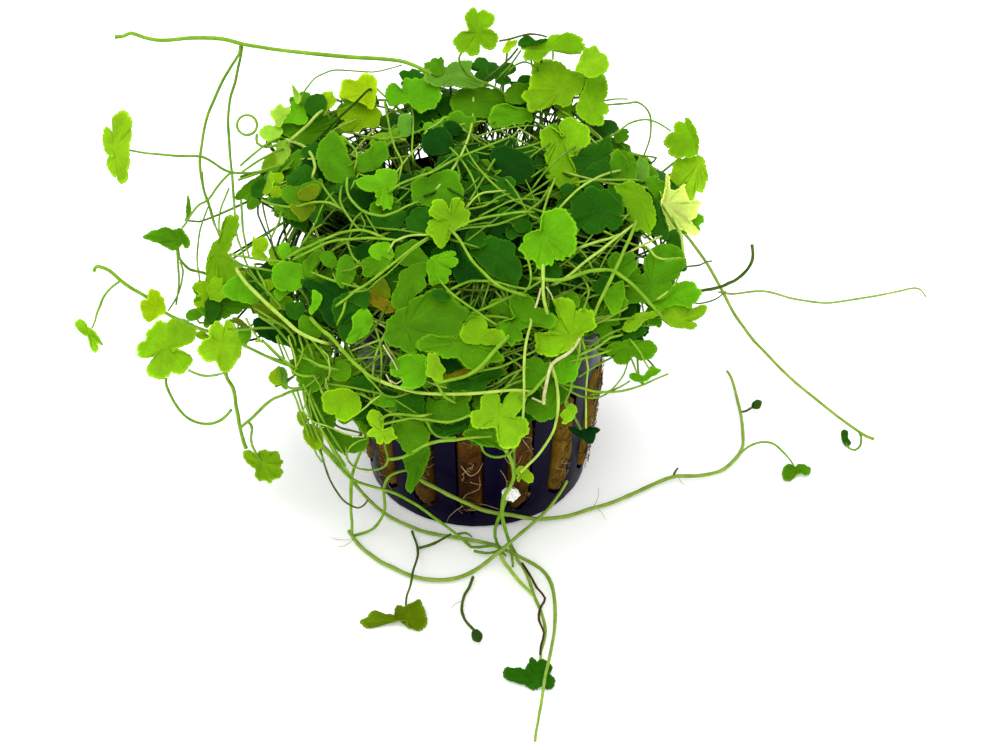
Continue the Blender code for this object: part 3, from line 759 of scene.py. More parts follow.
# blades that stand clear of the mound
airBlades = {
    "leaf_far_left": {"tint": "fresh", "depth": 9, "turn": -35, "lean": 10, "heart": (114, 148),
        "rim": "113,119 116,114 121,111 127,112 131,118 132,125 131,138 129,150 130,158 128,170 127,179 "
        "123,184 119,182 118,176 115,178 111,172 107,167 108,160 113,157 108,154 104,149 103,140 103,132 "
        "107,127 112,131 116,134 114,127"},
    "leaf_left_small": {"tint": "fresh", "depth": -15, "turn": 0, "lean": 10,
        "rim": "75,325 76,321 80,319 84,321 87,326 91,329 94,331 97,335 101,341 103,345 100,344 97,342 "
        "98,349 96,353 92,350 90,344 88,337 84,335 79,331"},
    "leaf_left_upper": {"tint": "mid", "depth": -11, "turn": 0, "lean": 10,
        "rim": "143,237 150,232 157,230 166,227 172,230 179,228 184,232 187,237 190,243 186,248 182,243 "
        "179,247 175,250 169,249 164,246 158,243 150,240"},
    "leaf_left_yellow": {"tint": "lime", "depth": -17, "turn": 0, "lean": 10,
        "rim": "140,304 143,300 148,299 148,293 151,289 158,291 161,296 164,299 165,305 166,311 161,315 "
        "156,318 150,322 145,320 142,314"},
    "leaf_left_large": {"tint": "fresh", "depth": -7, "turn": 0, "lean": 15, "heart": (166, 347),
        "rim": "138,356 137,349 140,343 146,339 147,332 153,326 160,320 167,323 173,318 181,319 188,321 "
        "193,324 196,330 196,336 192,341 186,345 178,347 172,350 179,351 186,353 192,358 190,366 186,370 "
        "181,374 175,374 171,371 168,377 162,379 156,378 150,377 147,371 149,364 155,357 147,358"},
    "leaf_lower_left": {"tint": "fresh", "depth": -20, "turn": 0, "lean": 10, "heart": (222, 345),
        "rim": "198,352 199,346 203,341 209,338 209,332 211,326 216,321 220,323 224,326 227,320 232,321 "
        "235,326 237,332 241,337 243,344 241,350 240,357 236,361 233,366 230,371 225,372 220,370 218,364 "
        "216,360 212,362 206,361 202,358"},
    "leaf_low_left": {"tint": "fresh", "frill": 1.7, "depth": -15, "turn": 0, "lean": 15,
        "heart": (262, 463), "rim": "243,453 247,450 252,452 257,454 260,451 266,450 271,452 275,451 "
        "279,453 280,458 283,462 280,467 283,472 279,478 274,479 270,483 265,480 260,481 255,476 256,470 "
        "250,465 245,460"},
    "leaf_top": {"tint": "bright", "depth": 15, "turn": 0, "lean": 10, "heart": (478, 33),
        "rim": "466,14 470,9 475,8 478,12 483,10 489,12 494,16 494,22 489,26 485,29 491,30 497,34 498,40 "
        "496,46 490,50 485,48 481,44 479,48 478,54 471,56 466,52 461,53 456,48 453,42 456,36 462,32 469,30 "
        "467,24 465,19"},
    "leaf_front_low": {"tint": "mid", "depth": -27, "turn": 0, "lean": -25, "heart": (418, 464),
        "rim": "403,458 408,455 413,451 419,448 425,445 430,449 429,456 427,463 424,471 420,479 415,486 "
        "411,493 407,490 406,484 408,477 406,469"},
}
groundBlades = {
    "leaf_front_crumpled": {"tint": "olive", "height": 0.9, "ruffle": 1.5,
        "rim": "360,622 366,618 371,613 376,611 382,615 388,614 394,616 395,610 398,606 405,606 412,603 "
        "419,600 423,606 425,613 427,619 425,627 420,630 414,629 409,627 408,621 400,620 392,622 383,622 "
        "374,627 366,627"},
    "leaf_front_ground": {"tint": "deep", "height": 0.8, "ruffle": 1.2,
        "rim": "503,676 504,671 508,667 514,669 520,668 525,670 528,664 531,658 537,661 543,660 549,663 "
        "552,668 550,674 555,680 554,686 548,689 541,686 535,690 528,687 522,684 515,682 509,680"},
    "leaf_right_ground": {"tint": "mid", "height": 0.7, "ruffle": 1.2,
        "rim": "782,474 784,467 789,464 795,467 799,464 805,465 811,469 808,475 801,473 796,475 791,480 "
        "785,480"},
    "leaf_right_end": {"tint": "deep", "height": 0.7, "ruffle": 1.0,
        "rim": "841,433 844,430 848,432 848,438 851,443 847,446 843,442"},
}
bladeRng = random.Random(11)


def bladeNormal(turn, lean):
    tilt = math.radians(photoView["pitchDegrees"] + lean)
    swing = math.radians(turn)
    return Vector((math.cos(tilt) * math.sin(swing), -math.cos(tilt) * math.cos(swing),
        math.sin(tilt))).normalized()


for node, look in airBlades.items():
    normal = bladeNormal(look["turn"], look["lean"])
    blade = tracedBlade(node, pixels(look["rim"]), lambda spot: atDepth(spot.x, spot.y, look["depth"]),
        normal, look["tint"], bladeRng, 1.0, heart=look.get("heart"), frill=look.get("frill", 1.0))[0]
    finishPiece(joinBlades(node + "_blade", [blade], 0.24), [node])
for node, look in groundBlades.items():
    blade = tracedBlade(node, pixels(look["rim"]), lambda spot: atHeight(spot.x, spot.y, look["height"]),
        Vector((0, -0.25, 1)).normalized(), look["tint"], bladeRng, look["ruffle"], floorHeight=0.25)[0]
    finishPiece(joinBlades(node + "_blade", [blade], 0.24), [node])
print("single blades cut")

# stems that stand clear of the mound
# place is depth for stems in the air and height for stems on the surface
airStems = {
    "runner_top_left": {"kind": "bright", "radius": 0.46,
        "path": "430,74,20 422,69,20 405,62,20.5 384,59,21 350,57,22 317,54,23 280,50,24 260,47,24.5 "
        "242,44,25 228,40,25.5 212,38,26 190,38,26 170,40,26.5 156,40,27 143,37,27.5 131,33,28 124,36,28 "
        "115,37,28"},
    "petiole_hang_outer": {"kind": "green", "radius": 0.32,
        "path": "240,46,25 239,54,24 232,65,23 222,82,22 214,100,20.5 208,114,19 204,130,17 202,143,16 "
        "200,157,14.5 200,167,13 202,182,11.5 205,194,10 209,204,9 211,214,8 215,226,6.5"},
    "petiole_hang_inner": {"kind": "green", "radius": 0.32,
        "path": "242,46,25.4 241,55,25.4 238,68,24.2 235,83,23 231,95,22 229,107,21 228,122,19.5 229,138,18 "
        "230,155,16 232,174,14 233,190,12 234,205,10 235,218,8"},
    "petiole_far_left": {"kind": "green", "radius": 0.3,
        "path": "280,165,4 257,172,5 242,173,5 230,172,5 221,168,5.5 214,163,6 203,157,6 191,156,6.5 "
        "179,156,7 167,155,7.5 156,154,8 145,153,8.3 134,151,8.6 122,149,8.9"},
    "runner_left": {"kind": "bright", "radius": 0.38,
        "path": "235,337,-14.5 222,334,-14.2 210,332,-14 198,328,-13.5 189,324,-13.2 180,320,-13 "
        "171,316,-12.8 163,311,-12.5 155,305,-12.2 148,298,-12 140,293,-12 131,288,-12 120,280,-12 "
        "110,271,-12 101,267,-12 96,267,-12 94,271,-12"},
    "petiole_left_leaf": {"kind": "bright", "radius": 0.27,
        "path": "119,282,-12 113,286,-13 108,291,-14 103,298,-14.5 100,306,-15 97,313,-15.3 95,321,-15.5 "
        "92,328,-15.4"},
    "stem_left_upper": {"kind": "green", "radius": 0.3,
        "path": "216,278,-6 204,273,-8 196,271,-8.5 189,269,-9 182,262,-10 179,257,-10.6 178,250,-11 "
        "176,243,-11"},
    "stem_loop_left": {"kind": "bright", "radius": 0.32,
        "path": "166,378,-7.4 166,383,-8 167,387,-8 169,392,-8 173,400,-9 178,408,-9.6 184,415,-10 "
        "191,420,-10.4 199,423,-10.8 207,424,-11 214,423,-11.4 221,420,-12 227,415,-12.5 231,410,-13"},
    "stem_left_drop": {"kind": "bright", "radius": 0.42,
        "path": "225,371,-14 227,378,-12.5 230,383,-12.2 233,388,-12 235,397,-12.5 236,406,-13 238,415,-13 "
        "239,423,-13 241,432,-13 244,443,-13 246,448,-13"},
    "stem_left_branch": {"kind": "bright", "radius": 0.33,
        "path": "305,388,-20 293,391,-19 287,393,-18.6 281,396,-18 275,398,-17.5 270,401,-17 265,405,-16.5 "
        "261,409,-16 257,413,-15.5 252,418,-15 246,423,-14.5 241,427,-14"},
    "petiole_low_left": {"kind": "bright", "radius": 0.28,
        "path": "247,421,-14.6 251,425,-15 252,430,-15 251,437,-15 252,445,-15 256,453,-14.9 "
        "261,461,-14.8"},
    "petiole_top_leaf": {"kind": "green", "radius": 0.26,
        "path": "506,96,17 500,90,17 494,87,16.8 487,84,16.5 478,80,16.2 469,76,16 465,72,15 462,67,14 "
        "460,63,13.4 459,58,13 462,52,13.4 468,45,14 475,38,14.6"},
    "runner_right": {"kind": "straw", "radius": 0.36,
        "path": "672,222,10 680,228,10 685,234,10 690,240,10 699,252,10 708,265,10 717,281,9.5 725,296,9 "
        "730,306,8.7 735,315,8.5 745,329,8 754,341,7.7 763,350,7.4 779,367,7.2 796,383,7 817,400,6.5 "
        "837,416,6 848,424,5.6 858,431,5.2 866,436,4.9 874,439,4.6"},
    "stem_right_bare": {"kind": "olive", "radius": 0.36,
        "path": "688,297,-1.5 698,292,-1 705,290,-1 712,289,-1 723,286,-1 729,283,-1 734,281,-1 741,276,-1 "
        "746,271,-1 749,267,-1 752,261,-1 753,254,-1 752,245,-1"},
    "petiole_right_long": {"kind": "straw", "radius": 0.25,
        "path": "718,292,8.4 733,294,8 748,292,7.5 763,291,7 777,294,6.5 790,298,6 807,301,5.5 824,303,5 "
        "837,302,4.5 850,300,4 875,296,3.5 900,291,3 908,289,2.5 915,288,2 921,290,2 926,297,2"},
    "stem_front_mid": {"kind": "bright", "radius": 0.42,
        "path": "483,435,-36.6 490,432,-36 494,436,-35.5 499,442,-34.6 504,448,-33.8 508,454,-33 "
        "512,463,-31.2 514,474,-29 513,480,-28.2 510,487,-27.2 506,493,-26.5 503,500,-25.9 502,513,-25 "
        "503,521,-24.5 505,528,-24 508,538,-23.5 512,548,-23.6 517,556,-24.4"},
    "stem_front_straight": {"kind": "bright", "radius": 0.31,
        "path": "306,436,-24 320,446,-24 335,462,-23.5 350,478,-23 367,485,-23.4 385,490,-23.8 "
        "397,494,-24.2 408,500,-24.5 420,507,-24.6 432,516,-24.5 443,524,-24.2 455,533,-23.3 462,539,-22.9 "
        "470,546,-23.6"},
    "petiole_front_node": {"kind": "bright", "radius": 0.36,
        "path": "369,430,-19.5 367,439,-20 363,447,-20 359,456,-20 355,466,-20 352,476,-20.3 351,488,-20.6 "
        "351,500,-21 351,512,-21.4 352,522,-21.7 352,532,-22 353,540,-22.3"},
    "petiole_front_arch": {"kind": "bright", "radius": 0.32,
        "path": "353,536,-22 360,534,-21 367,532,-20.8 374,528,-20.8 379,522,-20.8 383,515,-20.8 "
        "385,507,-20.9 384,496,-21.2 384,488,-21.5 386,481,-21.8 389,477,-21.9 393,474,-22 402,471,-22.4 "
        "410,470,-22.8"},
}
groundStems = {
    "runner_front_arc": {"kind": "straw", "radius": 0.44,
        "path": "349,531,0.9 355,540,0.8 362,548,0.8 371,555,0.8 381,562,0.8 392,567,0.8 402,572,0.8 "
        "412,576,0.8 425,579,0.8 439,580,0.8 452,579,0.8 463,576,0.8 472,572,0.9 480,567,1.0 487,562,1.6 "
        "494,556,2.2 505,547,2.9 520,534,2.7 531,525,2.9 541,516,3.2 549,508,4.0 555,500,5.0 562,490,7.0 "
        "567,481,9.0"},
    "runner_front_long": {"kind": "straw", "radius": 0.42,
        "path": "320,428,26 328,440,22 334,451,18 340,462,14 350,477,9 359,489,5.8 369,500,3.2 380,510,1.8 "
        "392,518,0.9 407,525,0.8 422,531,0.8 440,535,0.8 459,538,0.8 477,541,0.8 494,545,0.8 506,550,0.8 "
        "516,555,0.8 528,561,0.8 541,569,0.8 549,579,0.8 553,590,0.8 555,606,0.8 555,622,0.8 554,634,1.0 "
        "552,645,1.3 549,660,2.3 547,668,2.4 545,677,2.4 543,691,2.2 541,705,0.9 539,715,0.8 538,722,0.8 "
        "536,732,0.8 535,741,0.8"},
    "runner_right_ground": {"kind": "straw", "radius": 0.45,
        "path": "408,470,13.5 421,480,12.3 430,485,11.6 440,490,10.8 449,495,10.1 458,499,9.3 469,504,8.2 "
        "480,509,7.0 496,513,5.8 512,515,4.6 526,518,2.9 540,519,1.4 554,518,1.0 568,516,0.8 581,512,0.8 "
        "593,508,0.9 608,504,0.8 623,498,0.8 639,491,0.8 654,484,0.8 666,479,0.8 678,476,0.9 696,476,0.8 "
        "714,473,0.8 724,469,0.8 732,462,0.8 739,454,0.8 743,445,0.8 743,435,0.8 742,422,0.8 740,410,0.8 "
        "737,398,0.8 734,386,0.8 731,377,0.8 727,371,0.8"},
    "petiole_front_leaf": {"kind": "straw", "radius": 0.36,
        "path": "516,558,0.9 522,566,0.6 526,573,0.6 529,580,0.6 532,589,0.6 535,598,0.6 540,609,0.6 "
        "543,618,0.6 545,627,0.6 545,636,0.6 543,645,0.6 541,652,0.6 540,663,0.6 534,674,0.5"},
    "petiole_front_crumpled": {"kind": "olive", "radius": 0.27,
        "path": "412,531,0.9 414,537,0.5 417,545,0.5 418,553,0.5 417,559,1.2 415,565,1.8 413,571,2.4 "
        "412,577,2.7 411,583,2.4 409,590,1.8 407,595,1.2 406,602,0.9 406,610,0.9"},
    "petiole_ground_leaf": {"kind": "bright", "radius": 0.26,
        "path": "741,453,1.4 748,447,1.9 757,443,2.3 766,442,2.6 774,444,2.4 780,449,2.0 786,455,1.5 "
        "791,461,1.0 795,468,0.8"},
    "petiole_right_end": {"kind": "green", "radius": 0.25,
        "path": "858,431,1.6 861,436,0.7 861,441,0.5 860,446,0.5 855,450,0.5 849,448,0.5 846,443,0.6"},
}
budStalks = {
    "bud_front": {"kind": "olive", "radius": 0.26, "bud": 0.95,
        "path": "473,577,0.6 469,588,0.5 465,594,0.5 463,600,0.5 462,606,0.5 462,612,0.5 465,620,0.7 "
        "469,625,1.0 473,629,1.2 475,632,1.4 477,637,1.4"},
    "bud_right": {"kind": "olive", "radius": 0.22, "bud": 0.85,
        "path": "740,412,0.8 746,411,0.9 751,408,1.3 754,407,1.4 757,405,1.4"},
}

stemSlim = 0.8
for node, look in airStems.items():
    path = aboveFloor(smoothPath([atDepth(*spot) for spot in pixels(look["path"])]), look["radius"])
    finishPiece(drawStems(node + "_stem", [(look["kind"], look["radius"] * stemSlim, path,
        0.25 if node.startswith("petiole") else 0.0)]), [node])
for node, look in groundStems.items():
    path = aboveFloor(smoothPath([atHeight(*spot) for spot in pixels(look["path"])]), look["radius"])
    finishPiece(drawStems(node + "_stem", [(look["kind"], look["radius"] * stemSlim, path, 0.3)]), [node])


def budMesh(name, centre, heading, size, kind):
    # a swollen young bud: a small ball drawn out, ribbed and pinched at its tip
    bpy.ops.object.select_all(action="DESELECT")
    bpy.ops.mesh.primitive_uv_sphere_add(segments=14, ring_count=9, radius=1.0, location=(0, 0, 0))
    bud = bpy.context.object
    bud.name = name
    turned = heading.to_track_quat("Z", "Y")
    for vertex in bud.data.vertices:
        place = vertex.co.copy()
        ribs = 1 + 0.12 * math.cos(5 * math.atan2(place.y, place.x)) * (1 - abs(place.z))
        pinch = 1 - 0.45 * max(place.z, 0) ** 1.5
        place = Vector((place.x * ribs * pinch, place.y * ribs * pinch, place.z * 1.5))
        vertex.co = (centre + (turned @ place) * size) * mm
    bpy.ops.object.shade_smooth()
    bud.data.materials.append(stemSkins[stemKinds.index(kind)])
    return bud


for node, look in budStalks.items():
    path = smoothPath([atHeight(*spot) for spot in pixels(look["path"])], 0.7)
    stalk = drawStems(node + "_stalk", [(look["kind"], look["radius"], path, 0.0)])
    tip = path[-1] + Vector((0, 0, 0.2))
    bud = budMesh(node + "_tip", tip, (path[-1] - path[-3]).normalized(), look["bud"], "deep")
    finishPiece(stalk, [node])
    finishPiece(bud, [node])
print("runners laid")

# the mound: blades read from the photo
# each: colour, lift towards the camera in millimetres, outline
# dark and deep blades set back with negative lift paint the shade between leaves; blades such as
# topWideShade, topRidgeDark, frontDarkTop, frontWideLobe and centreLeftTop are patches over a traced blade
# that paint one part of it lighter or darker as light and shade
moundBlades = {
    "topNotched": ("mid", 0.0, "431,66 430,62 432,59 435,58 438,59 441,57 443,59 444,62 444,66 445,69 "
        "443,74 438,76 432,74 430,70"),
    "topGrey": ("grey", 0.5, "424,77 426,72 430,69 436,68 445,67 452,63 459,61 466,61 470,60 472,62 471,66 "
        "471,70 474,76 480,82 484,86 478,88 470,88 460,87 450,86 440,87 432,85 426,82"),
    "topLeftFan": ("lively", 1.0, "386,90 387,87 391,84 394,83 397,85 400,89 402,89 403,83 404,80 407,78 "
        "410,79 413,79 416,78 419,80 422,79 424,77 430,80 437,84 441,92 441,97 439,102 437,105 435,108 "
        "431,109 425,111 420,113 417,110 414,108 411,104 408,103 404,104 400,103 396,106 392,106 389,105 "
        "387,101 386,96"),
    "topDarkFan": ("mid", 0.5, "451,100 453,96 457,92 462,89 468,89 474,90 480,89 486,88 492,89 498,90 "
        "503,92 506,95 508,99 506,103 501,105 496,107 493,110 491,114 488,118 483,119 478,120 472,121 "
        "466,118 461,116 456,113 452,109 450,105"),
    "topUnderFan": ("deep", -0.5, "438,104 440,100 445,97 450,97 451,104 455,110 452,115 447,118 441,115 "
        "437,110"),
    "topMidFan": ("lively", 1.0, "488,121 489,116 491,110 495,106 500,104 506,104 512,106 518,108 524,108 "
        "528,109 531,112 533,117 532,121 529,122 527,121 524,124 519,124 513,124 508,126 504,127 498,128 "
        "491,127"),
    "topBelowFan": ("deep", 0.0, "412,113 418,110 425,111 431,109 435,111 438,115 440,119 436,122 430,122 "
        "424,124 418,126 413,125 411,119"),
    "topGreyLow": ("grey", 0.0, "399,117 401,115 406,114 411,115 411,122 411,130 409,136 405,137 400,136 "
        "397,132 398,125"),
    "backDark": ("dark", -1.5, "423,133 428,130 435,128 443,127 448,131 452,137 453,145 450,152 440,155 "
        "430,155 423,150 422,141"),
    "backDarkSmall": ("dark", -1.5, "445,122 452,121 458,124 462,128 464,133 460,135 454,136 448,133 "
        "444,128"),
    "topRidge": ("bright", 0.0, "519,46 522,49 526,49 525,51 523,55 524,58 526,60 530,60 533,61 536,62 "
        "539,61 542,59 545,56 548,52 553,50 558,49 563,51 568,53 573,54 578,54 581,53 582,50 585,49 586,47 "
        "584,44 581,43 583,40 581,37 577,36 573,34 569,32 565,33 562,36 560,34 555,35 550,36 548,38 543,39 "
        "538,40 534,41 531,38 528,36 524,37 521,40 518,43"),
    "topRidgeDark": ("deep", 0.6, "518,43 521,39 525,36 529,36 532,38 535,41 540,40 546,39 548,40 543,43 "
        "535,44 527,45 521,47"),
    "topYellow": ("lime", 0.0, "502,52 503,49 505,45 508,41 512,41 517,40 517,43 515,46 512,48 511,50 "
        "508,53 505,53"),
    "topWide": ("bright", 0.2, "533,66 535,62 540,61 546,60 552,60 558,62 563,65 568,69 573,72 579,72 "
        "585,73 588,76 587,80 585,84 582,89 580,93 577,95 573,97 571,101 571,104 568,106 565,108 562,107 "
        "560,105 557,104 553,105 549,107 545,108 542,109 537,111 531,112 528,109 527,105 525,101 522,97 "
        "524,92 529,88 530,84 530,80 531,75 532,70"),
    "topWideShade": ("mid", 0.5, "541,98 546,94 553,92 559,94 562,98 560,103 554,104 548,107 542,108 "
        "537,105"),
    "topNeighbour": ("mid", -0.5, "505,93 507,90 510,87 513,84 518,83 524,84 529,84 531,88 528,93 525,97 "
        "526,102 522,104 515,104 509,103 505,100"),
    "topTallUpper": ("fresh", 0.5, "575,71 578,63 581,56 584,50 587,48 589,48 593,46 596,46 598,49 600,53 "
        "603,53 606,56 608,60 609,64 608,69 606,72 603,73 598,76 592,78 587,77 583,74 579,72"),
    "topTallLower": ("bright", 0.9, "588,76 592,74 597,73 602,74 606,78 607,84 608,90 607,95 604,100 "
        "606,104 608,107 609,112 606,114 603,114 604,119 603,124 598,126 592,125 586,122 581,118 577,113 "
        "576,108 578,102 580,97 583,90 586,84"),
    "rightOfTop": ("bright", 2.0, "539,133 541,131 545,129 548,127 551,126 554,128 556,131 559,133 561,136 "
        "563,137 563,133 561,130 560,126 561,122 563,119 567,118 572,118 578,121 584,125 588,128 590,131 "
        "590,137 590,141 588,144 586,147 583,148 580,151 578,154 574,156 570,157 571,161 573,166 576,172 "
        "578,177 580,181 579,186 578,189 576,187 573,188 571,190 568,191 563,190 559,189 556,184 551,182 "
        "547,179 545,173 546,165 546,160 545,155 548,152 544,149 541,145 542,141 540,137"),
    "rightDeepBehind": ("deep", -0.5, "571,158 580,152 590,146 600,142 608,136 611,140 612,150 608,156 "
        "611,162 606,170 600,175 590,178 582,180 577,172 573,164"),
    "rightMidInner": ("deep", 0.5, "582,175 584,172 587,169 589,166 594,163 600,161 605,160 609,163 611,168 "
        "612,175 612,179 600,180 588,180 582,179"),
    "rightBand": ("mid", 0.3, "612,156 614,151 617,149 621,152 624,156 627,160 628,165 628,168 631,163 "
        "636,162 637,168 636,176 636,180 625,181 614,180 611,172 610,163"),
    "rightTip": ("mid", 0.0, "616,131 620,130 626,129 629,132 627,134 629,137 626,141 620,143 616,143 "
        "614,137"),
    "rightSliver": ("grey", 1.0, "637,165 638,160 640,156 642,159 645,159 648,163 649,168 649,175 647,180 "
        "642,182 638,180 636,174"),
    "rightMain": ("bright", 2.0, "614,187 618,185 622,183 626,182 631,181 636,183 640,185 645,190 650,195 "
        "653,203 655,212 656,218 655,224 652,230 650,236 647,233 643,232 640,229 636,231 633,228 630,222 "
        "627,215 627,207 622,206 619,203 616,200 615,195 616,190"),
    "rightSliverLow": ("mid", 1.0, "648,178 652,177 657,177 660,180 664,182 667,185 668,188 666,191 668,195 "
        "668,198 664,200 659,199 655,197 651,193 647,188 646,182"),
    "rightDeepEdge": ("deep", 0.5, "653,197 658,200 662,210 666,222 669,232 668,240 660,238 652,234 655,226 "
        "656,215 654,205"),
    "rightTallUpper": ("bright", 0.5, "674,131 674,126 676,122 679,121 683,123 685,122 685,118 687,118 "
        "690,120 693,124 696,130 698,137 699,144 698,150 697,155 692,157 688,158 683,157 677,158 672,156 "
        "669,153 668,151 669,149 667,147 664,143 664,140 667,136 671,133"),
    "rightTallLower": ("fresh", 0.8, "697,155 701,157 704,160 706,165 706,170 708,176 708,180 705,182 "
        "705,187 703,192 700,192 697,190 696,192 694,198 692,201 690,200 688,198 686,196 685,192 686,187 "
        "687,181 684,183 680,187 676,190 672,190 670,187 669,182 670,176 672,171 672,167 675,162 679,159 "
        "687,158 692,157"),
    "rightWilting": ("pale", 0.4, "667,174 670,180 669,186 671,190 676,190 681,188 685,184 685,192 687,197 "
        "690,201 695,201 701,202 700,206 697,209 697,214 695,218 692,220 688,218 692,223 696,228 698,232 "
        "695,236 690,234 684,230 674,230 668,231 665,224 664,215 662,207 662,199 665,192 666,184"),
    "rightWiltScab": ("olive", 0.8, "689,209 692,208 696,209 697,213 695,218 692,220 688,217"),
    "rightUpSmall": ("deep", 1.0, "666,240 667,234 670,231 675,229 678,232 680,238 681,244 682,250 677,249 "
        "671,247 667,245"),
    "rightPaleTop": ("mid", 1.3, "652,250 654,247 658,245 662,244 667,244 673,245 678,247 682,251 684,257 "
        "676,259 668,259 660,259 655,256"),
    "rightFold": ("mid", 1.0, "644,260 646,257 649,253 652,250 655,256 660,259 668,260 677,259 684,258 "
        "686,261 685,265 683,269 679,274 675,278 672,281 671,285 673,287 670,292 665,297 658,300 652,302 "
        "646,303 640,303 634,303 628,302 627,297 627,291 630,286 633,282 629,279 630,276 636,274 640,275 "
        "643,276 644,270 644,264"),
    "rightOliveBig": ("lively", 1.5, "652,303 658,300 665,296 672,289 676,285 681,282 689,281 694,283 "
        "697,287 701,291 701,295 698,299 695,303 692,305 690,308 684,306 675,305 665,308 660,312 656,307"),
    "rightFlat": ("fresh", 2.0, "658,313 660,308 668,305 676,303 684,302 692,304 692,309 697,307 701,305 "
        "706,306 707,309 704,314 701,317 695,320 691,321 696,324 697,326 694,329 688,329 680,328 675,328 "
        "670,325 665,321 660,317"),
    "rightFlatLeft": ("fresh", 1.5, "622,329 625,323 631,318 636,314 643,313 650,312 655,311 659,314 "
        "655,317 648,319 643,322 640,326 636,330 628,332"),
    "rightCorner": ("mid", 0.5, "605,351 608,346 612,343 618,342 623,341 628,340 635,341 642,341 650,341 "
        "655,344 657,349 655,354 651,358 646,360 640,360 636,358 632,356 630,360 628,364 623,364 619,365 "
        "615,362 613,358 614,354 609,355"),
    "rightCornerBack": ("deep", 0.0, "622,338 628,333 636,330 643,327 646,331 642,335 637,338 630,341 "
        "624,341"),
    "rightCrumb": ("lively", 1.0, "629,375 633,373 638,374 643,376 647,372 652,366 656,368 661,370 657,374 "
        "652,376 648,380 640,382 632,380"),
    "rightInner": ("mid", 0.0, "609,258 612,254 617,252 622,256 627,254 632,252 636,255 634,258 633,262 "
        "636,262 638,265 637,268 634,270 631,274 628,277 624,279 619,277 614,272 610,267 607,262"),
    "rightPillar": ("lively", 1.0, "606,290 610,288 615,284 620,281 623,281 624,286 625,291 625,297 623,300 "
        "622,305 620,310 617,314 613,315 610,312 608,307 605,303 604,297"),
    "rightBig": ("bright", 2.0, "553,300 558,297 563,297 568,298 572,301 575,306 577,312 579,310 585,309 "
        "591,310 594,313 594,319 597,325 592,329 586,332 581,337 576,342 571,348 565,351 558,355 552,356 "
        "546,356 540,354 536,350 535,343 535,336 536,333 544,333 549,332 549,328 545,326 550,322 556,318 "
        "559,320 557,312 555,305"),
    "rightBigNeighbour": ("mid", 1.0, "511,296 515,293 521,292 527,294 531,296 534,301 537,306 542,309 "
        "548,310 553,314 557,319 556,325 550,328 545,327 538,326 530,327 524,328 520,331 522,335 521,341 "
        "516,342 512,346 508,342 506,338 505,334 501,330 496,329 500,322 510,320 514,317 512,310 510,304"),
    "rightBigBack": ("mid", 0.8, "553,299 558,295 564,292 570,291 576,293 579,298 580,304 577,308 572,304 "
        "566,299"),
    "rightNarrowDeep": ("deep", 0.4, "594,283 600,278 606,276 610,281 607,288 602,294 597,293 593,288"),
    "yellowTall": ("lime", 1.5, "339,94 341,90 341,84 344,80 349,79 355,81 360,77 365,73 370,75 374,76 "
        "377,82 377,88 376,96 375,102 374,108 370,109 364,104 359,102 352,101 345,98 341,97"),
    "yellowLow": ("yolk", 1.0, "337,113 341,109 347,106 352,104 358,102 365,104 370,108 376,109 381,112 "
        "380,120 377,127 373,128 368,127 364,128 360,130 356,132 352,131 347,131 341,130 338,127 343,123 "
        "345,120 339,118"),
    "smallTopLeft": ("lime", 0.5, "321,97 324,92 328,92 332,91 333,94 334,97 337,99 336,102 332,107 328,110 "
        "325,115 322,112 325,104"),
    "darkTopLeft": ("deep", 1.0, "306,102 308,98 313,95 318,94 323,95 326,99 327,104 325,110 322,114 "
        "320,119 313,117 307,112 304,107"),
    "limeEdge": ("limelight", 0.0, "270,111 273,110 276,107 279,104 282,105 285,108 289,107 291,110 288,116 "
        "284,120 281,126 277,127 274,120 271,116"),
    "edgeMid": ("lively", 0.5, "290,107 292,103 294,101 298,105 302,106 305,108 306,114 308,119 306,123 "
        "300,125 292,123 285,123 281,122 284,115 288,111"),
    "limeLow": ("limelight", 0.5, "259,133 262,128 267,125 273,126 279,126 283,131 280,136 275,139 268,141 "
        "262,138"),
    "deepWide": ("mid", 0.2, "280,125 286,123 294,122 302,123 309,120 316,116 322,113 325,117 330,118 "
        "336,118 339,121 333,127 326,133 320,138 315,142 308,145 300,143 292,139 286,136 280,131"),
    "deepWideLow": ("deep", -0.4, "279,128 284,133 290,140 297,144 304,146 306,152 300,157 292,153 285,148 "
        "280,140"),
    "limePillar": ("limelight", 0.8, "277,143 281,141 286,141 289,146 291,152 288,158 284,163 278,166 "
        "276,160 276,150"),
    "limeFoot": ("fresh", 0.6, "262,165 265,158 269,155 275,154 277,160 275,167 268,171 262,172"),
    "underPillar": ("mid", 0.2, "284,164 289,158 295,152 300,150 303,156 303,162 298,168 292,174 286,178 "
        "280,180 276,176 280,169"),
    "veinyWide": ("mid", 1.5, "330,132 335,131 338,135 340,139 344,144 347,150 349,157 352,163 355,168 "
        "357,174 354,178 350,181 345,184 338,183 331,182 326,178 322,172 319,166 317,160 317,152 319,145 "
        "323,139"),
    "oliveNear": ("mid", 0.5, "357,158 359,155 366,152 372,146 378,142 384,141 387,145 388,151 389,156 "
        "386,160 383,163 380,166 377,169 372,171 366,172 360,172 357,168 356,163"),
    "clawNear": ("lively", 2.0, "376,174 377,171 381,169 388,169 395,170 397,173 398,178 396,184 392,189 "
        "391,192 393,196 393,201 392,206 391,210 389,209 387,208 384,211 383,208 383,205 380,206 376,205 "
        "377,199 375,196 377,193 373,192 368,191 363,190 358,186 355,181 358,180 365,176 372,176",
        (385, 186)),
    "centreWide": ("mid", -0.5, "412,183 416,179 420,178 428,177 434,174 441,171 448,170 454,170 458,174 "
        "460,180 462,186 464,192 464,198 461,203 450,208 440,210 430,208 424,205 418,206 414,203 412,198 "
        "411,192"),
    "centreLobe": ("deep", 0.0, "409,216 412,211 416,208 421,207 427,208 430,212 433,217 437,219 431,222 "
        "428,226 426,233 420,235 412,235 409,230 406,224 406,219"),
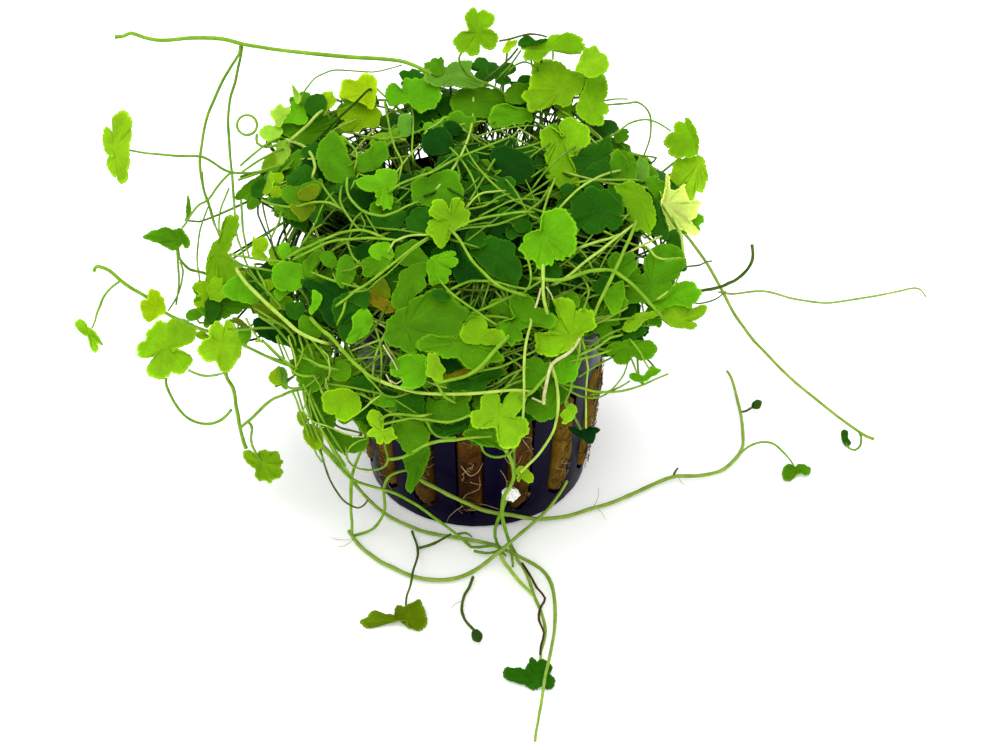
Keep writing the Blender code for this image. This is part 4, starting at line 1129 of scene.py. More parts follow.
    "centreBright": ("bright", 3.0, "430,209 432,205 432,202 436,200 440,199 443,200 446,204 449,209 "
        "451,209 451,203 452,199 456,198 460,198 461,201 464,203 464,208 468,210 470,214 469,218 470,221 "
        "467,224 462,227 455,229 451,232 449,238 446,244 442,248 438,247 435,243 433,238 429,236 426,232 "
        "428,227 428,223 432,220 440,220 435,218 430,215 429,212", (450, 221)),
    "darkBetween": ("dark", -1.0, "352,188 360,190 370,192 376,194 375,200 373,205 366,208 358,207 352,203 "
        "349,196"),
    "deepBelowClaw": ("deep", -0.5, "371,218 376,214 385,216 395,214 403,211 406,215 404,222 400,228 "
        "392,231 383,230 376,228 372,223"),
    "darkCentre": ("dark", -1.5, "492,150 497,147 503,145 508,147 514,149 521,152 527,155 531,160 533,164 "
        "535,170 534,176 531,182 524,184 517,184 508,183 501,181 497,175 494,168 491,160 490,154"),
    "fiveLobed": ("lively", 3.0, "541,230 541,219 544,213 550,210 556,208 562,209 567,210 569,214 572,219 "
        "575,222 577,226 577,230 576,234 574,236 577,239 577,243 575,247 576,250 574,254 570,257 566,256 "
        "564,257 564,260 561,261 557,260 553,259 553,263 551,266 547,265 543,267 540,269 537,267 535,262 "
        "532,259 527,260 524,257 523,253 520,251 519,249 521,245 523,241 524,237 528,234 533,231 537,230",
        (543, 236)),
    "midByFive": ("deep", 1.0, "515,230 514,225 518,221 523,219 527,221 529,226 528,231 521,233"),
    "darkRight": ("deep", -0.6, "570,200 573,193 578,189 583,191 586,188 592,186 597,188 601,191 605,189 "
        "611,192 614,197 618,200 622,205 624,212 620,216 623,222 619,228 612,230 606,227 601,232 594,235 "
        "587,233 582,229 576,230 571,225 572,218 568,213 571,207"),
    "deepCentre": ("deep", -0.4, "470,251 475,244 480,240 487,238 495,237 503,240 510,241 515,246 515,253 "
        "519,260 522,266 522,273 520,280 517,285 510,283 500,280 493,277 485,270 478,262 472,256"),
    "deepCentreTop": ("deep", 0.3, "467,232 474,230 482,231 486,236 487,242 485,246 478,248 470,249 465,242"),
    "darkCentreLow": ("dark", -0.8, "452,240 458,244 463,251 468,259 474,266 480,273 486,279 480,281 "
        "470,282 460,284 455,279 453,270 452,260 450,250"),
    "oliveByFive": ("deep", 0.2, "546,266 552,264 559,265 562,270 560,276 553,278 547,277 545,271"),
    "centreFan": ("lively", 2.0, "430,258 434,256 440,254 446,252 450,251 454,252 456,254 454,257 457,259 "
        "458,262 457,265 453,267 449,267 447,267 450,270 451,274 448,277 448,280 446,284 443,284 440,283 "
        "437,284 434,286 431,285 429,281 429,277 428,273 426,270 427,265 428,261"),
    "centreGrey": ("mid", 1.0, "398,277 401,272 407,268 415,264 423,262 428,264 428,270 426,275 425,280 "
        "426,286 422,291 417,294 414,298 411,303 407,308 402,310 396,310 392,306 391,301 392,296 395,290 "
        "397,285 399,280"),
    "centreLeft": ("mid", 1.0, "378,243 384,242 389,243 391,247 393,252 394,256 391,262 386,268 380,272 "
        "375,275 370,277 366,277 363,276 362,274 363,271 362,268 360,266 361,263 363,260 367,258 371,257 "
        "370,255 369,252 370,248 373,245"),
    "centreLeftTop": ("lively", 1.4, "378,243 384,242 389,243 391,247 393,252 394,256 391,259 385,261 "
        "378,260 372,257 369,252 370,248 373,245"),
    "centreLeftBack": ("dark", -0.5, "355,252 356,248 360,245 365,243 371,243 370,248 370,254 368,258 "
        "362,260 357,258"),
    "centreBehind": ("mid", 0.2, "394,256 395,251 397,247 401,245 406,243 411,240 416,240 419,243 420,248 "
        "423,252 427,257 428,262 421,263 413,265 404,266 397,262"),
    "centreDeepUnder": ("deep", -0.4, "388,276 395,270 402,265 410,262 404,268 399,274 398,281 396,288 "
        "391,293 386,296 381,290 380,283"),
    "yellowScrap": ("rust", 0.5, "368,294 370,291 374,293 378,297 383,298 388,300 392,303 396,308 394,311 "
        "390,313 386,313 382,310 379,308 374,306 370,303 368,299"),
    "oliveAboveScrap": ("olive", 0.2, "372,292 374,285 378,280 383,278 387,283 390,290 390,298 385,298 "
        "379,297"),
    "frontDark": ("mid", 1.5, "387,325 387,320 390,317 395,315 397,311 401,309 406,306 411,301 416,298 "
        "422,295 427,292 433,290 440,289 446,291 452,297 458,302 464,306 469,311 468,317 464,323 461,330 "
        "457,336 448,337 437,336 428,335 420,338 416,344 417,352 412,354 405,351 398,348 391,345 386,341 "
        "382,337 386,333"),
    "frontDarkTop": ("deep", 2.2, "433,290 440,289 446,292 451,297 447,301 440,301 434,298 431,294"),
    "frontWide": ("mid", 2.5, "417,347 417,343 419,339 424,337 430,335 437,336 445,337 452,337 456,337 "
        "459,334 461,330 463,326 465,322 468,318 471,315 475,315 478,316 482,317 485,320 487,324 488,329 "
        "493,329 497,329 501,331 504,334 506,338 506,341 502,346 498,350 500,354 503,356 504,361 500,362 "
        "495,362 491,361 487,365 483,369 478,371 472,371 467,368 464,364 461,360 456,358 450,357 446,358 "
        "440,357 436,353 432,352 428,352 424,352 419,350"),
    "frontWideLobe": ("bright", 3.0, "460,335 463,326 468,318 473,315 478,316 484,319 487,324 488,329 "
        "495,329 501,331 505,335 506,340 500,344 490,345 480,344 470,344 463,341"),
    "frontWideFoot": ("mid", 2.9, "464,358 470,352 478,349 487,349 495,351 499,356 497,361 490,361 485,366 "
        "478,370 471,369 466,364"),
    "frontBetween": ("dark", 1.2, "440,358 446,358 452,358 456,360 460,364 463,368 456,371 449,374 444,372 "
        "443,367 440,363"),
    "frontLeftPair": ("lively", 3.0, "390,368 391,364 394,361 398,358 403,356 408,354 413,355 419,354 "
        "424,355 426,359 426,365 427,371 426,378 424,384 420,387 415,388 411,390 406,388 401,387 403,382 "
        "401,377 396,377 391,374"),
    "frontLeftPairSide": ("mid", 3.3, "390,368 391,364 394,361 397,360 399,366 401,373 401,377 396,377 "
        "391,374"),
    "frontSmallBright": ("fresh", 4.0, "427,368 427,362 427,357 428,354 430,353 432,354 434,353 437,354 "
        "439,358 440,361 441,364 443,366 445,369 445,372 442,375 443,379 440,381 437,382 434,380 431,377 "
        "427,376 426,372", (434, 368)),
    "frontBrown": ("rust", 1.5, "446,374 452,369 460,367 468,369 474,373 467,377 458,379 450,380 445,379"),
    "frontBandDeep": ("deep", 1.2, "448,383 456,381 466,379 476,376 486,372 494,368 500,366 503,371 500,377 "
        "492,380 486,386 484,391 476,392 464,390 454,391 448,389"),
    "frontMidDeep": ("mid", 2.5, "428,398 432,400 438,401 444,400 450,400 454,398 460,397 465,397 468,400 "
        "468,405 470,408 470,413 468,416 463,418 457,420 450,421 440,421 432,420 428,417 426,410 427,403"),
    "frontMidLeft": ("deep", 2.0, "400,395 408,393 416,393 423,393 424,400 424,408 424,414 418,413 411,412 "
        "403,412 397,410 395,404 397,399"),
    "frontMidSmall": ("lively", 2.0, "370,400 375,397 382,396 390,397 397,398 397,403 394,406 388,407 "
        "382,407 376,405 371,403"),
    "frontLeftDeep": ("dark", 1.0, "376,388 384,389 392,392 398,393 394,397 386,398 379,396 374,392"),
    "frontLeftMid": ("mid", 1.6, "332,366 337,362 343,361 349,364 351,370 350,377 345,381 338,381 332,378 "
        "330,372"),
    "frontBigBright": ("fresh", 4.5, "470,417 471,413 475,411 480,409 481,404 481,398 484,394 489,391 "
        "494,391 498,394 499,399 500,404 504,402 506,398 509,394 512,391 517,391 521,392 526,395 526,400 "
        "523,405 521,410 517,413 514,417 519,418 524,418 528,423 529,428 528,433 522,438 517,446 510,449 "
        "500,446 498,438 497,430 492,427 486,428 480,429 474,427 471,422", (498, 416)),
    "frontBigUnder": ("mid", 3.4, "463,434 470,429 478,429 488,430 496,434 498,444 506,450 496,447 485,446 "
        "475,442 467,438"),
    "frontUnderStem": ("deep", 2.0, "432,424 442,424 452,425 462,423 467,427 463,431 455,434 445,436 "
        "437,434 431,429"),
    "frontDeepLow": ("mid", 2.5, "392,428 397,423 405,421 415,421 423,425 429,433 428,442 420,449 412,455 "
        "405,452 400,444 395,437"),
    "frontRightLow": ("mid", 2.5, "525,410 526,404 530,401 537,401 543,399 546,393 548,388 552,384 557,385 "
        "558,392 558,400 557,408 555,415 552,419 548,419 545,421 541,422 537,420 534,417 530,414 526,413"),
    "frontRightMid": ("mid", 2.0, "525,360 530,359 536,357 541,359 543,362 548,363 551,366 548,371 545,376 "
        "541,381 537,385 531,388 526,388 524,382 524,372"),
    "frontRightUp": ("lively", 2.2, "552,372 555,366 560,361 566,357 572,355 578,357 583,358 580,364 "
        "578,370 577,376 574,381 568,382 562,384 557,381 553,377"),
    "heartLeaf": ("fresh", 2.5, "566,408 569,404 573,404 576,407 577,411 575,415 573,419 569,422 565,424 "
        "562,423 564,420 562,418 560,415 563,411", (571, 413)),
    "roundLeft": ("lively", 2.0, "272,275 273,268 277,264 283,262 290,262 297,263 303,266 306,272 308,278 "
        "304,283 301,288 296,291 288,291 281,291 276,288 273,282"),
    "roundLeftFoot": ("lively", 1.6, "276,289 281,292 287,292 284,296 280,301 276,298 274,293"),
    "frontLeftBright": ("bright", 3.0, "322,401 322,396 325,392 332,390 338,389 343,388 350,390 355,392 "
        "359,396 361,402 361,408 360,412 356,415 352,418 348,420 344,422 340,420 336,418 335,414 331,414 "
        "327,413 324,411 323,406"),
    "frontStar": ("fresh", 4.0, "367,417 369,412 373,409 377,411 380,412 383,417 383,425 383,430 387,429 "
        "392,427 394,432 395,436 398,438 392,440 390,443 386,443 384,440 381,444 377,443 376,438 369,436 "
        "367,434 369,431 373,427 369,423"),
    "leftHangUnder": ("mid", 1.2, "322,428 332,429 341,432 350,436 358,438 366,438 368,443 365,449 358,452 "
        "350,453 341,453 336,449 331,443 326,437"),
    "leftHangLow": ("yolk", 2.4, "305,425 310,424 316,427 320,431 323,438 323,444 320,449 315,450 311,447 "
        "307,443 304,438 303,431"),
    "leftHangSide": ("yolk", 1.8, "299,411 303,413 306,418 306,425 302,426 299,423 297,419 297,414"),
    "leftHangBand": ("mid", 1.6, "307,391 314,390 320,394 321,402 323,411 329,415 335,414 336,420 334,427 "
        "326,427 318,424 312,419 309,410 307,400"),
    "leftHangUpper": ("mid", 1.4, "297,357 305,354 312,355 320,358 326,362 329,368 327,376 323,384 317,391 "
        "310,393 304,391 299,386 297,378 295,368"),
    "leftHangRight": ("deep", 1.2, "350,380 356,377 364,376 372,379 374,386 368,391 360,391 353,388"),
    "leftHangLobe": ("olive", 1.5, "290,361 295,359 301,361 302,369 298,376 292,373"),
    "leftHangGrey": ("grey", 2.2, "279,367 284,368 287,374 287,382 287,389 283,388 281,380 280,373"),
    "leftHangScab": ("rust", 2.6, "296,379 300,377 305,378 309,379 304,381 299,383"),
    "leftLong": ("bright", 2.0, "229,214 233,216 238,215 239,220 239,226 236,230 236,235 232,240 231,246 "
        "229,252 230,258 234,262 240,265 245,270 246,277 241,286 234,291 226,292 221,289 217,284 214,290 "
        "209,293 206,287 206,278 206,270 207,262 208,256 211,250 212,245 216,241 220,238 221,233 222,227 "
        "224,222 226,217"),
    "leftLongSide": ("mid", 1.4, "212,245 216,241 220,240 219,248 215,256 212,263 208,268 206,268 207,262 "
        "208,256 211,250"),
    "leftLongFoot": ("lively", 1.4, "222,292 226,284 232,278 240,275 246,279 250,286 256,293 259,300 "
        "254,304 246,303 238,301 230,299"),
    "leftDarkWide": ("mid", 0.5, "193,287 198,281 205,283 210,292 214,294 218,290 222,292 230,293 240,292 "
        "250,295 257,300 256,304 250,308 243,309 238,314 232,314 226,318 220,320 212,325 205,327 204,315 "
        "198,310 194,303 196,297"),
    "leftDarkWideDeep": ("deep", 0.9, "205,302 211,296 217,293 219,300 221,308 219,315 213,321 207,322 "
        "205,312"),
    "leftSquare": ("yolk", 1.0, "253,236 256,239 262,237 266,238 268,242 268,247 265,251 263,252 266,256 "
        "268,259 260,258 252,256 252,250 253,243"),
    "leftSmall": ("lively", 1.0, "279,247 282,243 286,243 289,244 290,248 291,252 288,257 286,261 283,261 "
        "281,257 278,253"),
    "leftDarkTip": ("mid", 0.2, "186,316 190,310 200,308 205,312 200,318 190,321"),
    "leftBigDark": ("dark", 1.0, "301,282 305,278 312,280 320,282 328,281 338,282 346,286 352,294 356,303 "
        "354,313 348,321 341,326 332,328 326,322 320,312 316,300 310,291"),
    "leftBigDarkLow": ("deep", 1.4, "334,300 342,296 350,298 358,303 366,310 371,318 370,327 365,335 "
        "356,341 347,344 340,338 338,328 334,318 332,308"),
    "leftBigDarkEdge": ("lively", 1.7, "352,318 358,311 364,308 370,312 373,320 371,328 366,335 358,340 "
        "351,344 346,341 350,333 353,325"),
    "leftBigUpper": ("mid", 1.2, "340,258 348,255 354,262 356,272 352,282 346,288 340,287 336,280 337,268"),
    "leftBesideScrap": ("deep", 1.3, "340,296 348,292 356,290 364,289 370,293 369,301 366,309 358,306 "
        "350,302 343,302"),
    "leftFork": ("lively", 2.0, "313,290 318,292 322,296 321,302 318,308 314,312 311,315 309,310 312,303 "
        "312,296"),
    "leftForkLeaf": ("mid", 1.6, "299,320 304,315 310,318 314,322 320,325 322,333 318,338 310,338 303,333 "
        "299,327"),
    "leftForkBack": ("deep", 1.0, "286,303 294,302 302,303 305,308 303,315 298,320 290,318 286,312"),
    "leftBandMid": ("mid", 1.0, "303,262 309,256 315,251 321,250 324,255 321,260 317,266 318,274 325,279 "
        "332,280 324,283 314,281 306,276 303,269"),
    "leftRightDeep": ("mid", 0.8, "320,256 325,252 331,252 336,258 338,264 333,268 328,267 323,264"),
    "leftTiny": ("yolk", 2.0, "271,372 275,369 279,366 282,370 284,378 282,383 278,385 273,384 269,380 "
        "269,376"),
    "leftWedge": ("mid", 1.0, "235,197 240,190 246,184 252,180 258,177 264,176 268,178 266,183 264,188 "
        "262,193 262,199 260,204 256,207 250,210 247,207 247,201 243,199 238,200"),
    "leftWedgeDeep": ("deep", 1.3, "252,186 257,181 262,178 266,179 264,185 262,191 261,197 256,198 251,194"),
    "leftYellowUp": ("yolk", 0.8, "270,178 274,174 281,173 284,178 281,184 276,186 272,183"),
    "leftYellowMid": ("yolk", 0.6, "271,189 275,186 280,188 282,194 279,201 274,199 271,195"),
    "leftSwoop": ("mid", 0.4, "273,206 280,207 288,209 295,212 302,216 305,220 300,222 293,220 286,218 "
        "279,214"),
    "leftEdgeLobes": ("yolk", 0.8, "206,281 200,282 195,284 193,287 196,291 199,294 196,297 193,301 195,305 "
        "199,308 204,309 208,304 212,300 216,295 216,290 210,287"),
    "leftInnerOlive": ("yolk", 0.9, "264,281 269,280 273,281 274,286 271,290 266,290 262,287"),
    "leftBandOlive": ("olive", 0.8, "252,304 258,303 264,305 270,311 278,317 286,322 292,327 296,333 "
        "288,330 278,325 268,320 260,315 254,310"),
    "leftPocket": ("dark", -1.0, "254,319 262,318 270,322 276,328 282,334 286,341 280,344 272,341 264,338 "
        "258,334 254,328"),
    "leftUnderStems": ("lively", 0.8, "240,329 247,328 251,331 251,337 247,344 243,346 240,340 238,334"),
    "leftUnderFork": ("olive", 0.8, "232,318 238,318 244,322 248,327 242,327 237,324"),
    "leftLowOlive": ("yolk", 0.9, "198,332 203,331 208,335 212,338 206,340 200,339 196,336"),
    "leftOliveWide": ("olive", 0.9, "290,205 297,204 305,203 312,203 316,208 312,213 307,219 302,221 "
        "297,216 292,211"),
    "leftUpperWide": ("mid", 0.6, "283,188 290,186 298,187 306,184 313,181 320,182 322,188 319,195 314,201 "
        "306,202 297,203 289,204 284,200 281,194"),
    "leftUpperGlow": ("olive", 0.9, "298,192 305,187 313,184 319,186 319,193 314,199 306,201 299,199"),
    "leftInnerDeep": ("deep", 0.3, "286,178 292,173 299,168 306,165 314,170 318,176 318,182 311,183 303,185 "
        "295,187 288,186"),
    "leftInnerDark": ("dark", -0.4, "303,160 309,157 316,158 319,165 322,172 325,179 322,184 316,178 "
        "309,170 303,166"),
    "leftSlopeDeep": ("deep", 0.0, "311,214 317,210 322,213 323,219 319,224 313,223 310,219"),
    "potSideBottle": ("bottle", -4.0, "568,427 573,427 580,430 590,427 600,429 596,434 594,441 590,444 "
        "585,441 578,436 572,432"),
    "sheathTiny": ("mid", 1.0, "188,195 190,203 191,212 188,220 186,212 187,203"),
    "foldedTiny": ("limelight", 0.5, "292,85 294,86 298,92 301,97 300,102 297,104 294,98 293,92"),
    "slotSprout": ("fresh", -6.0, "516,472 518,467 522,466 527,469 530,472 533,475 533,481 529,483 525,481 "
        "521,478 519,482 517,479 519,475"),
}

# the mound: stems read from the photo
# each: colour, radius, lift towards the camera, route
moundStems = [
    ("green", 0.22, 1.0, "302,100 304,92 309,85 315,78 325,73 335,70 355,71 373,72 388,69 402,65"),
    ("green", 0.26, 1.0, "177,250 178,265 179,280 178,292 176,305"),
    ("green", 0.24, 1.0, "180,262 183,270 182,280 179,292 174,302 168,311"),
    ("bright", 0.3, 2.0, "230,173 222,181 215,190 208,200 200,204 195,209 190,216 186,223 182,228"),
    ("green", 0.24, 2.0, "209,205 205,215 200,230 198,245 197,260 199,275 200,281"),
    ("bright", 0.26, 2.0, "229,188 225,198 221,208 219,220 219,232"),
    ("bright", 0.28, 2.0, "232,170 233,185 234,200 235,215"),
    ("green", 0.28, 2.0, "241,200 242,215 243,230 246,245 249,256"),
    ("green", 0.24, 2.0, "236,230 238,240 242,250 245,260 250,270 257,280"),
    ("deep", 0.24, 1.0, "258,206 258,214 262,224 267,235 272,245 276,255"),
    ("olive", 0.24, 1.0, "262,200 264,212 267,224 270,235 273,245"),
    ("green", 0.28, 2.0, "281,214 279,222 275,230 271,238"),
    ("green", 0.28, 2.0, "202,172 203,185 206,198 211,210 214,222 219,235"),
    ("bright", 0.28, 2.5, "240,166 250,157 260,149 268,143 276,139"),
    ("bright", 0.28, 2.5, "242,172 255,163 265,157 277,151"),
    ("olive", 0.34, 2.3, "240,177 255,173 268,170 280,168 290,162 298,154 306,148"),
    ("bright", 0.3, 2.4, "238,180 250,176 262,172 272,169"),
    ("pale", 0.42, 3.5, "238,272 246,283 256,293 266,303 276,312 286,321 296,330 306,336 316,340 322,342"),
    ("bright", 0.28, 2.5, "230,254 240,256 252,258 264,260 276,261 285,262"),
    ("green", 0.26, 2.5, "230,256 240,264 250,267 262,269 272,271"),
    ("bright", 0.32, 3.0, "290,256 300,250 310,246 320,241 330,237 340,233 350,231 360,230 370,232 380,236"),
    ("bright", 0.3, 2.5, "296,258 306,253 316,248 326,243 338,240 355,239 370,238 385,239 395,240"),
    ("bright", 0.3, 2.0, "262,200 270,204 280,206 290,207 300,206 310,203 320,202 330,203 340,208"),
    ("green", 0.26, 1.6, "340,208 333,200 327,192 323,186"),
    ("green", 0.24, 1.4, "306,240 311,231 316,222 320,212 324,203 330,196"),
    ("green", 0.24, 1.2, "303,243 308,236 313,230 319,226"),
    ("bright", 0.42, 3.2, "314,322 322,330 330,336 338,345 345,353 352,361 360,368 367,374 375,379 385,383"),
    ("pale", 0.36, 3.6, "383,382 393,386 401,388 411,391 422,393 440,394 460,394 480,393 500,391 515,390 "
            "527,391"),
    ("bright", 0.32, 3.0, "340,303 347,298 355,291 364,286 375,278 385,270 395,262 405,254 415,246 424,240"),
    ("green", 0.2, 3.0, "354,292 362,291 369,289 377,281 386,275 398,264 410,252 424,242"),
    ("pale", 0.26, 3.0, "391,247 394,242 400,239 408,236 416,235 424,235"),
    ("bright", 0.3, 2.5, "347,181 347,190 350,198 355,204 360,209 367,213 375,215 383,216 390,214 398,211 "
            "405,207 412,204"),
    ("green", 0.28, 2.0, "341,190 340,200 343,208 348,216 354,224 360,230"),
    ("green", 0.24, 2.2, "352,225 355,219 360,214"),
    ("green", 0.22, 2.2, "362,217 365,224 363,230"),
    ("green", 0.22, 2.2, "366,215 370,222 375,230"),
    ("bright", 0.3, 2.5, "392,190 400,184 410,180 420,176 430,173 440,168 450,162 460,157 470,153 485,147 "
            "505,139"),
    ("bright", 0.26, 2.0, "385,105 388,120 391,135 396,150 400,157 402,163 401,170 399,178"),
    ("bright", 0.22, 1.5, "411,104 413,115 413,130 412,150 413,158"),
    ("pale", 0.22, 1.5, "426,132 430,128 436,125 441,121 445,118 450,117"),
    ("olive", 0.26, 0.8, "518,48 510,58 498,69 488,77"),
    ("green", 0.24, 0.9, "521,50 515,59 508,68 501,75"),
    ("green", 0.24, 0.9, "553,50 553,60"),
    ("green", 0.24, 1.0, "510,70 514,66 520,63 526,62 533,65"),
    ("olive", 0.26, 0.3, "499,41 510,39 520,36 530,34 540,35 547,37"),
    ("bright", 0.34, 4.0, "453,232 459,239 464,247 469,256 475,264 482,271 490,279 499,286 510,291 520,294"),
    ("bright", 0.28, 3.0, "452,232 462,225 475,220 487,217 500,215 512,213 522,212 528,212"),
    ("green", 0.26, 2.5, "453,231 465,228 480,227 495,225 505,222 515,218 524,215"),
    ("green", 0.26, 2.5, "528,211 535,206 541,201 545,195 548,190"),
    ("pale", 0.24, 2.0, "468,206 472,201 477,196 483,193 490,192 500,191"),
    ("green", 0.24, 2.0, "470,209 480,207 487,205 493,201 499,197 505,195"),
    ("green", 0.24, 2.0, "484,214 492,210 500,206 508,202 516,200 526,199 536,200"),
    ("green", 0.24, 2.0, "509,183 514,189 519,197 523,205 527,211"),
    ("green", 0.24, 2.5, "528,213 533,217 540,219"),
    ("bright", 0.28, 3.0, "543,228 543,215 546,203 549,193 552,186 554,181"),
    ("green", 0.28, 3.5, "452,289 458,286 465,283 472,281 480,281 490,281 500,283 510,286 520,288 527,289 "
            "533,286 541,281"),
    ("pale", 0.4, 3.2, "543,268 543,278 543,290 544,300 546,308"),
    ("dead", 0.24, 3.1, "541,288 539,296 537,303 535,308"),
    ("dead", 0.18, 3.1, "546,287 551,294 553,300"),
    ("bright", 0.26, 2.8, "528,260 530,268 531,276 530,284 527,289"),
    ("bright", 0.42, 3.0, "541,279 550,280 560,280 570,278 580,274 590,271 600,270 610,270 617,273 624,278 "
            "632,284 640,292 648,301 654,308 659,313"),
    ("pale", 0.32, 2.8, "560,281 570,275 580,266 590,258 600,251 610,243 620,235 632,226"),
    ("pale", 0.32, 2.5, "582,247 590,244 600,241 608,239 616,236"),
    ("olive", 0.28, 2.4, "553,298 560,296 570,291 580,285 588,281"),
    ("green", 0.26, 2.4, "586,283 589,290 587,300 584,308"),
    ("green", 0.26, 2.4, "577,248 583,253 588,260 592,268"),
    ("bright", 0.42, 2.8, "635,225 630,238 625,248 620,260 615,270 610,281 604,293 599,303 595,313"),
    ("pale", 0.26, 2.6, "651,251 655,256 662,259 670,259 678,258 685,258"),
    ("pale", 0.38, 2.0, "676,222 680,232 682,242 683,250 684,257"),
    ("green", 0.26, 0.8, "661,204 668,214 674,224 680,232"),
    ("pale", 0.24, 2.4, "659,298 666,293 672,287 676,282 679,276"),
    ("olive", 0.22, 0.6, "684,267 692,266 700,265 706,262 712,261"),
    ("green", 0.26, 1.6, "595,324 603,321 612,320 622,319 631,318"),
    ("bright", 0.26, 3.5, "443,284 449,291 456,297 463,302 470,307 478,312 484,317 492,322"),
    ("green", 0.3, 3.3, "478,311 486,308 495,304 503,300 510,297"),
    ("green", 0.18, 2.6, "483,304 485,297 487,291"),
    ("pale", 0.3, 5.0, "530,327 527,338 525,350 524,365 524,385 524,400 523,416"),
    ("bright", 0.4, 4.6, "504,341 497,348 490,356 483,364 476,370 468,375 460,378 450,380 441,382"),
    ("green", 0.26, 3.5, "470,374 480,371 490,369 500,367 510,363 520,358 533,352"),
    ("green", 0.26, 2.4, "500,381 508,376 516,372 524,369"),
    ("green", 0.26, 2.4, "497,392 505,388 512,384 521,381"),
    ("olive", 0.26, 2.0, "490,390 497,387 504,382 508,376 504,370 500,366"),
    ("dead", 0.38, 5.0, "544,404 544,396 546,386 548,376 551,366 557,360 564,356 571,351 576,345 580,338"),
    ("dead", 0.2, 4.8, "532,398 537,400 542,402 546,399"),
    ("bright", 0.36, 4.6, "526,396 532,392 537,387 542,381 547,376"),
    ("bright", 0.3, 4.2, "438,385 441,391 445,397 450,400"),
    ("dead", 0.2, 3.4, "383,345 388,353 393,361 397,369 401,378"),
    ("dead", 0.16, 3.4, "386,374 389,380 393,386"),
    ("dead", 0.16, 3.4, "390,380 396,384 402,380"),
    ("olive", 0.28, 3.0, "383,313 380,320 375,327 369,334 363,340 357,344"),
    ("bright", 0.26, 3.0, "345,304 343,312 339,320"),
    ("green", 0.26, 2.0, "358,262 353,257 350,250 348,243 350,236"),
    ("green", 0.22, 1.8, "358,266 350,270 343,271"),
    ("deep", 0.28, 3.4, "366,92 355,103 342,115 330,127 319,138 311,147"),
    ("pale", 0.4, 3.6, "293,138 300,132 308,125 314,118 318,114"),
    ("pale", 0.38, 3.0, "291,141 299,144 306,148 311,154 314,161 315,168 313,174"),
    ("pale", 0.22, 2.6, "303,159 309,159 316,159"),
    ("pale", 0.2, 1.8, "335,129 343,125 352,121"),
    ("bright", 0.26, 1.6, "346,140 351,145 356,151 357,160 355,167"),
    ("green", 0.26, 1.2, "341,132 352,133 364,136 374,138"),
    ("bright", 0.28, 1.5, "565,113 575,120 585,127 595,135 603,142 610,150 613,157"),
    ("pale", 0.24, 1.6, "590,128 600,137 608,150 612,158"),
    ("pale", 0.22, 1.5, "590,137 597,145 605,155"),
    ("bright", 0.26, 1.5, "578,150 590,144 605,139 618,132 628,124 640,120 650,120 660,124 671,131"),
    ("green", 0.24, 0.6, "603,101 615,99 628,99"),
    ("green", 0.24, 0.6, "605,105 618,104 630,103 637,102 645,107 650,115 651,125 650,138 646,150 643,158"),
    ("bright", 0.3, 1.5, "580,182 595,180 615,180 636,180"),
    ("bright", 0.24, 2.0, "634,344 640,352 645,362 650,370"),
    ("green", 0.22, 1.8, "630,356 634,365 637,374"),
    ("olive", 0.22, 0.6, "644,356 650,362 657,370"),
    ("bright", 0.26, 1.5, "563,384 572,386 582,388 592,391 602,392 612,392 622,391 634,388 645,384 656,379 "
            "668,374"),
    ("green", 0.22, 1.5, "562,386 570,391 580,396 590,398 600,397 609,392 617,384 624,374 628,362"),
    ("green", 0.22, 1.2, "590,395 600,393 610,391 620,387 630,381"),
    ("bright", 0.26, 2.4, "578,356 586,352 594,349 602,344 610,338 618,336"),
    ("bright", 0.28, 2.4, "572,361 580,359 590,357 600,354 606,352"),
    ("pale", 0.22, 1.0, "586,428 586,405 586,392 587,378 588,368 586,358 584,350 582,342 580,332"),
    ("bright", 0.22, 2.6, "580,344 579,352 577,362 574,371 572,379 571,388 568,396 565,403 567,408"),
    ("pale", 0.34, 4.0, "553,370 556,380 558,395 558,410 556,422 553,432 546,444 538,455 529,464 521,472"),
    ("green", 0.28, 2.0, "574,340 577,348 579,356"),
    ("bright", 0.26, 2.0, "581,338 584,346 586,354"),
    ("bright", 0.32, 3.0, "303,390 306,405 312,420 320,440 335,462 350,478"),
    ("green", 0.3, 3.0, "310,393 318,410 330,432 345,455"),
    ("olive", 0.26, 2.0, "320,448 324,463 330,480 337,492 343,500 350,505 358,508 364,505 368,500"),
    ("green", 0.26, 3.0, "346,447 347,458 352,465 360,469 375,470 385,466 388,458 385,447 385,435"),
    ("bright", 0.34, 5.0, "387,459 393,459 403,457 413,452 425,445 440,441 455,440 467,438 480,437 492,436"),
    ("bright", 0.3, 4.0, "383,418 388,415 398,414 410,415 419,416 426,415"),
    ("bright", 0.28, 4.0, "384,424 392,422 402,420 412,418 420,419 427,420"),
    ("bright", 0.3, 4.0, "426,419 436,421 447,422 458,420 468,416 476,413"),
    ("green", 0.26, 4.0, "427,422 431,430 437,436 447,438 456,437"),
    ("green", 0.18, 3.6, "400,403 408,408 416,413"),
    ("green", 0.28, 4.5, "481,443 483,451 490,456 500,457 510,453 518,444 521,436"),
    ("bright", 0.3, 3.5, "188,370 197,374 206,376 216,375 224,373"),
    ("olive", 0.2, 0.5, "688,297 695,303 703,303 716,299 726,291"),
    ("green", 0.26, 2.4, "330,384 342,386 355,388 368,391 378,393 388,396 396,397 406,394"),
    ("bright", 0.26, 3.4, "363,371 368,378 374,384 379,390"),
    ("green", 0.2, 3.0, "362,395 368,398 373,400"),
    ("pale", 0.2, 3.0, "362,410 367,406 372,401 378,397"),
    ("green", 0.28, 2.6, "298,349 306,357 314,364 323,367 332,370"),
    ("bright", 0.26, 2.6, "312,340 317,346 322,352 327,360 330,368 329,376"),
    ("olive", 0.28, 2.0, "230,320 240,324 248,328 256,332"),
